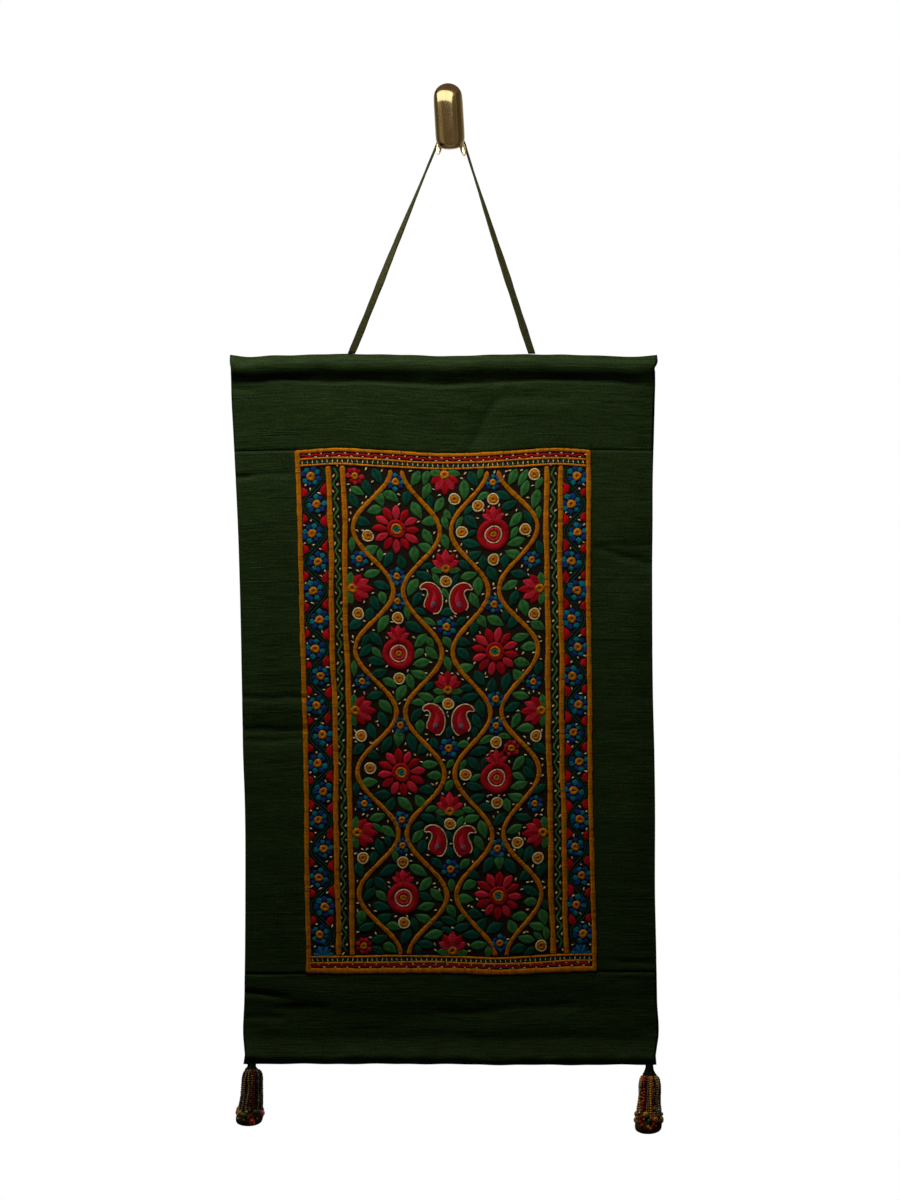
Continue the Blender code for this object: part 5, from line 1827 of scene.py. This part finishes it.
# Every string ends in larger beads. Columns: angle, drop, radius, half length, colour.
LEFT_ENDS = (
    (191, 30.0, 1.6, 2.2, "yellow"),
    (186, 33.5, 0.8, 0.8, "deep_red"),
    (205, 34.2, 1.4, 1.4, "silver"),
    (218, 32.2, 2.1, 2.2, "clear_gold"),
    (217, 36.0, 1.5, 1.3, "gold"),
    (236, 33.2, 1.3, 1.5, "gold"),
    (252, 33.9, 1.7, 1.9, "green"),
    (255, 31.0, 1.0, 1.1, "pearl"),
    (250, 37.0, 1.1, 1.1, "silver"),
    (268, 35.3, 0.9, 0.9, "red"),
    (277, 34.6, 0.9, 1.1, "dark_red"),
    (286, 38.2, 2.2, 2.1, "red"),
    (298, 31.3, 2.0, 2.0, "green"),
    (297, 34.6, 1.3, 1.0, "black"),
    (309, 36.2, 1.2, 1.2, "silver"),
    (319, 30.8, 1.1, 1.6, "pink"),
    (333, 32.8, 2.0, 2.5, "pink"),
    (350, 34.4, 1.3, 1.6, "dark_red"),
)
RIGHT_ENDS = (
    (188, 27.8, 1.9, 2.0, "orange"),
    (184, 32.0, 1.6, 1.7, "yellow"),
    (203, 33.0, 1.1, 1.2, "silver"),
    (200, 30.2, 1.2, 1.2, "gold"),
    (229, 30.4, 1.2, 1.2, "deep_red"),
    (226, 32.9, 1.0, 1.0, "red"),
    (236, 31.6, 0.9, 0.9, "dark_red"),
    (238, 35.4, 1.25, 1.2, "red"),
    (249, 33.4, 0.8, 0.8, "dark_red"),
    (245, 31.0, 0.9, 0.9, "cream"),
    (253, 27.5, 2.2, 2.1, "yellow"),
    (270, 32.3, 1.9, 1.9, "green"),
    (268, 36.2, 1.3, 1.3, "yellow"),
    (277, 37.6, 1.3, 1.3, "orange"),
    (284, 36.0, 1.2, 1.2, "red"),
    (291, 34.2, 0.9, 0.9, "orange"),
    (300, 31.2, 1.9, 2.2, "orange"),
    (303, 35.6, 0.9, 0.9, "cream"),
    (295, 28.5, 1.1, 1.1, "silver"),
    (319, 28.0, 1.1, 1.1, "green"),
    (327, 32.6, 1.1, 1.2, "silver"),
    (343, 31.3, 1.9, 2.0, "pearl"),
    (357, 28.0, 1.6, 1.3, "yellow"),
    (352, 34.0, 0.9, 0.9, "dark_red"),
)
# What hangs behind. Columns: colour, colour of every fourth bead, colour of its last bead.
LEFT_BACK = (("silver", "violet", "pearl"), ("dark_red", "brown", "red"), ("navy", "black", "green"),
             ("olive", "gold", "gold"), ("brown", "dark_red", "pink"), ("black", "silver", "yellow"))
RIGHT_BACK = (("yellow", "olive", "orange"), ("dark_red", "red", "green"), ("silver", "lilac", "pearl"),
              ("orange", "yellow", "red"), ("gold", "cream", "yellow"), ("black", "cream", "silver"))
BACK_FIRST, BACK_STEP = 8.0, 16.0
# Drop below the sleeve, half width, half depth.
TIE_LEFT_RINGS = ((-1.0, 3.0, 2.2), (0.6, 2.9, 2.5), (2.0, 3.6, 3.1), (3.0, 4.5, 3.6), (3.7, 4.4, 3.4),
                  (4.2, 2.6, 2.2))
TIE_RIGHT_RINGS = ((-1.0, 2.7, 2.1), (1.0, 2.7, 2.4), (3.9, 3.4, 3.1), (5.6, 4.3, 3.8), (6.6, 4.8, 4.2),
                   (7.4, 4.4, 3.8), (8.0, 2.6, 2.4))
TASSEL_LEFT = {"x": -141.4, "tie": TIE_LEFT_RINGS, "tie_drop": 2.9, "tie_shift": -0.7, "lean": -3.2,
               "spread": 1.0, "long": 0.965, "strings": LEFT_STRINGS, "ends": LEFT_ENDS, "back": LEFT_BACK}
TASSEL_RIGHT = {"x": 144.5, "tie": TIE_RIGHT_RINGS, "tie_drop": 6.6, "tie_shift": -0.3, "lean": -1.4,
                "spread": 1.03, "long": 1.0, "strings": RIGHT_STRINGS, "ends": RIGHT_ENDS, "back": RIGHT_BACK}
PIECE_GAP = 0.3
BEAD_RINGS, BEAD_SIDES, STRAND_STATIONS = 5, 8, 240
SKIRT_ROWS, SKIRT_SIDES, SKIRT_LOCKS, LOCK_DEPTH = 60, 108, 36.0, 0.045
KNOT_ROWS, KNOT_SIDES = 26, 60


# %% Tassel parts
def sleeve_underside(x):
    """Height of the bottom sleeve's underside at a sideways place."""
    u = np.interp(x, (SIDES[-1][1], SIDES[-1][4]), (U_MARKS[0], U_MARKS[-1]))
    return PANEL_TOP - float(drop_at(np.array(u), V_MARKS[-1]))


def tassel_points(place, radius, angle, drop):
    """Points at a radius and angle round the tassel's leaning axis, at a drop below its top."""
    top = sleeve_underside(place["x"]) - 2 * PIECE_GAP - place["tie_drop"]
    lean = place["lean"] * (drop / SKIRT_LENGTH) ** 2
    x = place["x"] + lean + radius * np.cos(angle)
    y = -TASSEL_FRONT + TASSEL_DEPTH_SHARE * radius * np.sin(angle)
    return join(x, y, top - drop * place["long"])


def ball():
    """A low ball with flattened poles, as rings of points, in its own radius and half length."""
    rise = np.linspace(-1.0, 1.0, BEAD_RINGS)[:, None]
    reach = np.sqrt(np.clip(1.0 - (0.86 * rise) ** 2, 0.0, 1.0))
    turn = full_turn(BEAD_SIDES)
    return join(reach * np.cos(turn), reach * np.sin(turn), rise).reshape(-1, 3)


def string_beads(place, row, number):
    """Centres, axes, radii, half lengths and colours of one string's beads, spaced along its line."""
    angle, radius, length, colour, fourth, end = row
    line = smooth_route(STRAND_SPREAD, STRAND_STATIONS)
    walked = walked_along(line)
    marks = np.arange(0.4 * shuffle(number, 3.0), np.interp(end, line[:, 0], walked), length * 1.02)
    drops = np.interp(marks, walked, line[:, 0])
    spread = np.interp(marks, walked, line[:, 1]) * place["spread"]
    spread = spread + 0.25 * np.sin(drops / 3.7 + 2.0 * number)
    turn = math.radians(angle) + 0.035 * np.sin(drops / 4.3 + number)
    centres = tassel_points(place, spread, turn, drops)
    axes = unit(np.gradient(centres, axis=0))
    uneven = 1.0 + 0.24 * stray_of(drops, number)
    names = [fourth if shuffle(index, number + 5.0) < 0.28 else colour for index in range(len(drops))]
    halves = np.full(len(drops), length * 0.5)
    return centres, axes, radius * uneven, halves, np.array([BEAD_COLOURS[name] for name in names])


def end_beads(place, rows):
    """The larger beads at the ends, which stand out a little past the strings."""
    angles, drops, radii, halves = (np.array(column, float) for column in list(zip(*rows))[:4])
    spread = np.interp(drops, *np.array(STRAND_SPREAD).T) * place["spread"] + 0.35 * radii - 0.3
    centres = tassel_points(place, spread, np.radians(angles), drops)
    axes = np.tile((0.0, 0.0, -1.0), (len(rows), 1))
    return centres, axes, radii, halves, np.array([BEAD_COLOURS[row[4]] for row in rows])


def hanging_behind(place):
    """Strings and end beads of the far side, in turn through a short list of colours."""
    angles = np.arange(BACK_FIRST, 180.0 - 5.0, BACK_STEP)
    strings, ends = [], []
    for number, angle in enumerate(angles):
        colour, fourth, last = place["back"][number % len(place["back"])]
        end = 28.0 + 3.5 * float(shuffle(number, 8.0))
        radius = 0.72 + 0.3 * float(shuffle(number, 6.0))
        strings.append((angle, radius, 1.9 * radius, colour, fourth, end))
        ends.append((angle, end + 2.4, 1.8, 1.9, last))
    return strings, ends


def set_colours(piece, colours):
    """Give every point of a piece its own colour."""
    layer = piece.data.color_attributes.new("bead_colour", "FLOAT_COLOR", "POINT")
    layer.data.foreach_set("color", np.concatenate((colours, np.ones((len(colours), 1))), 1).ravel())


def make_bead_strings(side, place):
    """Every bead of a tassel as one piece, each the same ball turned and stretched to its place."""
    far_strings, far_ends = hanging_behind(place)
    parts = [string_beads(place, row, number) for number, row in enumerate([*place["strings"], *far_strings])]
    parts.append(end_beads(place, [*place["ends"], *far_ends]))
    centres, axes, radii, halves, colours = (np.concatenate(column) for column in zip(*parts))
    beside = unit(np.cross(axes, TO_WALL))
    shape, points = ball(), centres[:, None]
    for column, (way, reach) in enumerate(((beside, radii), (np.cross(axes, beside), radii), (axes, halves))):
        points = points + way[:, None] * (shape[None, :, column, None] * reach[:, None, None])
    batch = (points * MM, points, *tube_faces(BEAD_RINGS, BEAD_SIDES))
    strung = make_piece(side + "_tassel_beads", [batch], beads, "glass_beads")
    set_colours(strung, np.repeat(colours, len(shape), axis=0))


def make_skirt(side, place):
    """The wool that the beads hang over: a tube of soft locks, closed at its head and foot."""
    drop, radius = np.split(smooth_route(SKIRT_RINGS, SKIRT_ROWS), 2, axis=1)
    turn = full_turn(SKIRT_SIDES)
    locks = np.cos(SKIRT_LOCKS * turn + 1.2 * np.sin(drop / 9.0)) * np.clip(drop / 6.0, 0.0, 1.0)
    skirt = tassel_points(place, radius * (1.0 + LOCK_DEPTH * locks), turn, drop)
    places = join(turn * 6.0, drop, 0.0)
    make_tube(side + "_tassel_skirt", skirt, places, wool, "glass_beads", "tassel_" + side)


def make_knot(side, place):
    """The silk knot that gathers the strings under the sleeve: an oval tube, puckered all round."""
    drop, wide, deep = np.split(smooth_route(place["tie"], KNOT_ROWS), 3, axis=1)
    turn = full_turn(KNOT_SIDES)
    gathers = 1.0 + 0.07 * np.cos(9.0 * turn + drop) + 0.04 * np.cos(17.0 * turn - 2.0 * drop)
    x = place["x"] + place["tie_shift"] + wide * gathers * np.cos(turn)
    y = -TASSEL_FRONT + deep * gathers * np.sin(turn)
    knot = join(x, y, sleeve_underside(place["x"]) - PIECE_GAP - drop)
    places = join(drop * 4.0, turn * 6.0, 0.0)
    # The knot's silk is darkened as painted shade from the sleeve above.
    make_tube(side + "_tassel_knot", knot, places, knot_silk_painted_shade, "green_silk", "tassel_tie_" + side)


for side, place in (("left", TASSEL_LEFT), ("right", TASSEL_RIGHT)):
    make_bead_strings(side, place)
    make_skirt(side, place)
    make_knot(side, place)
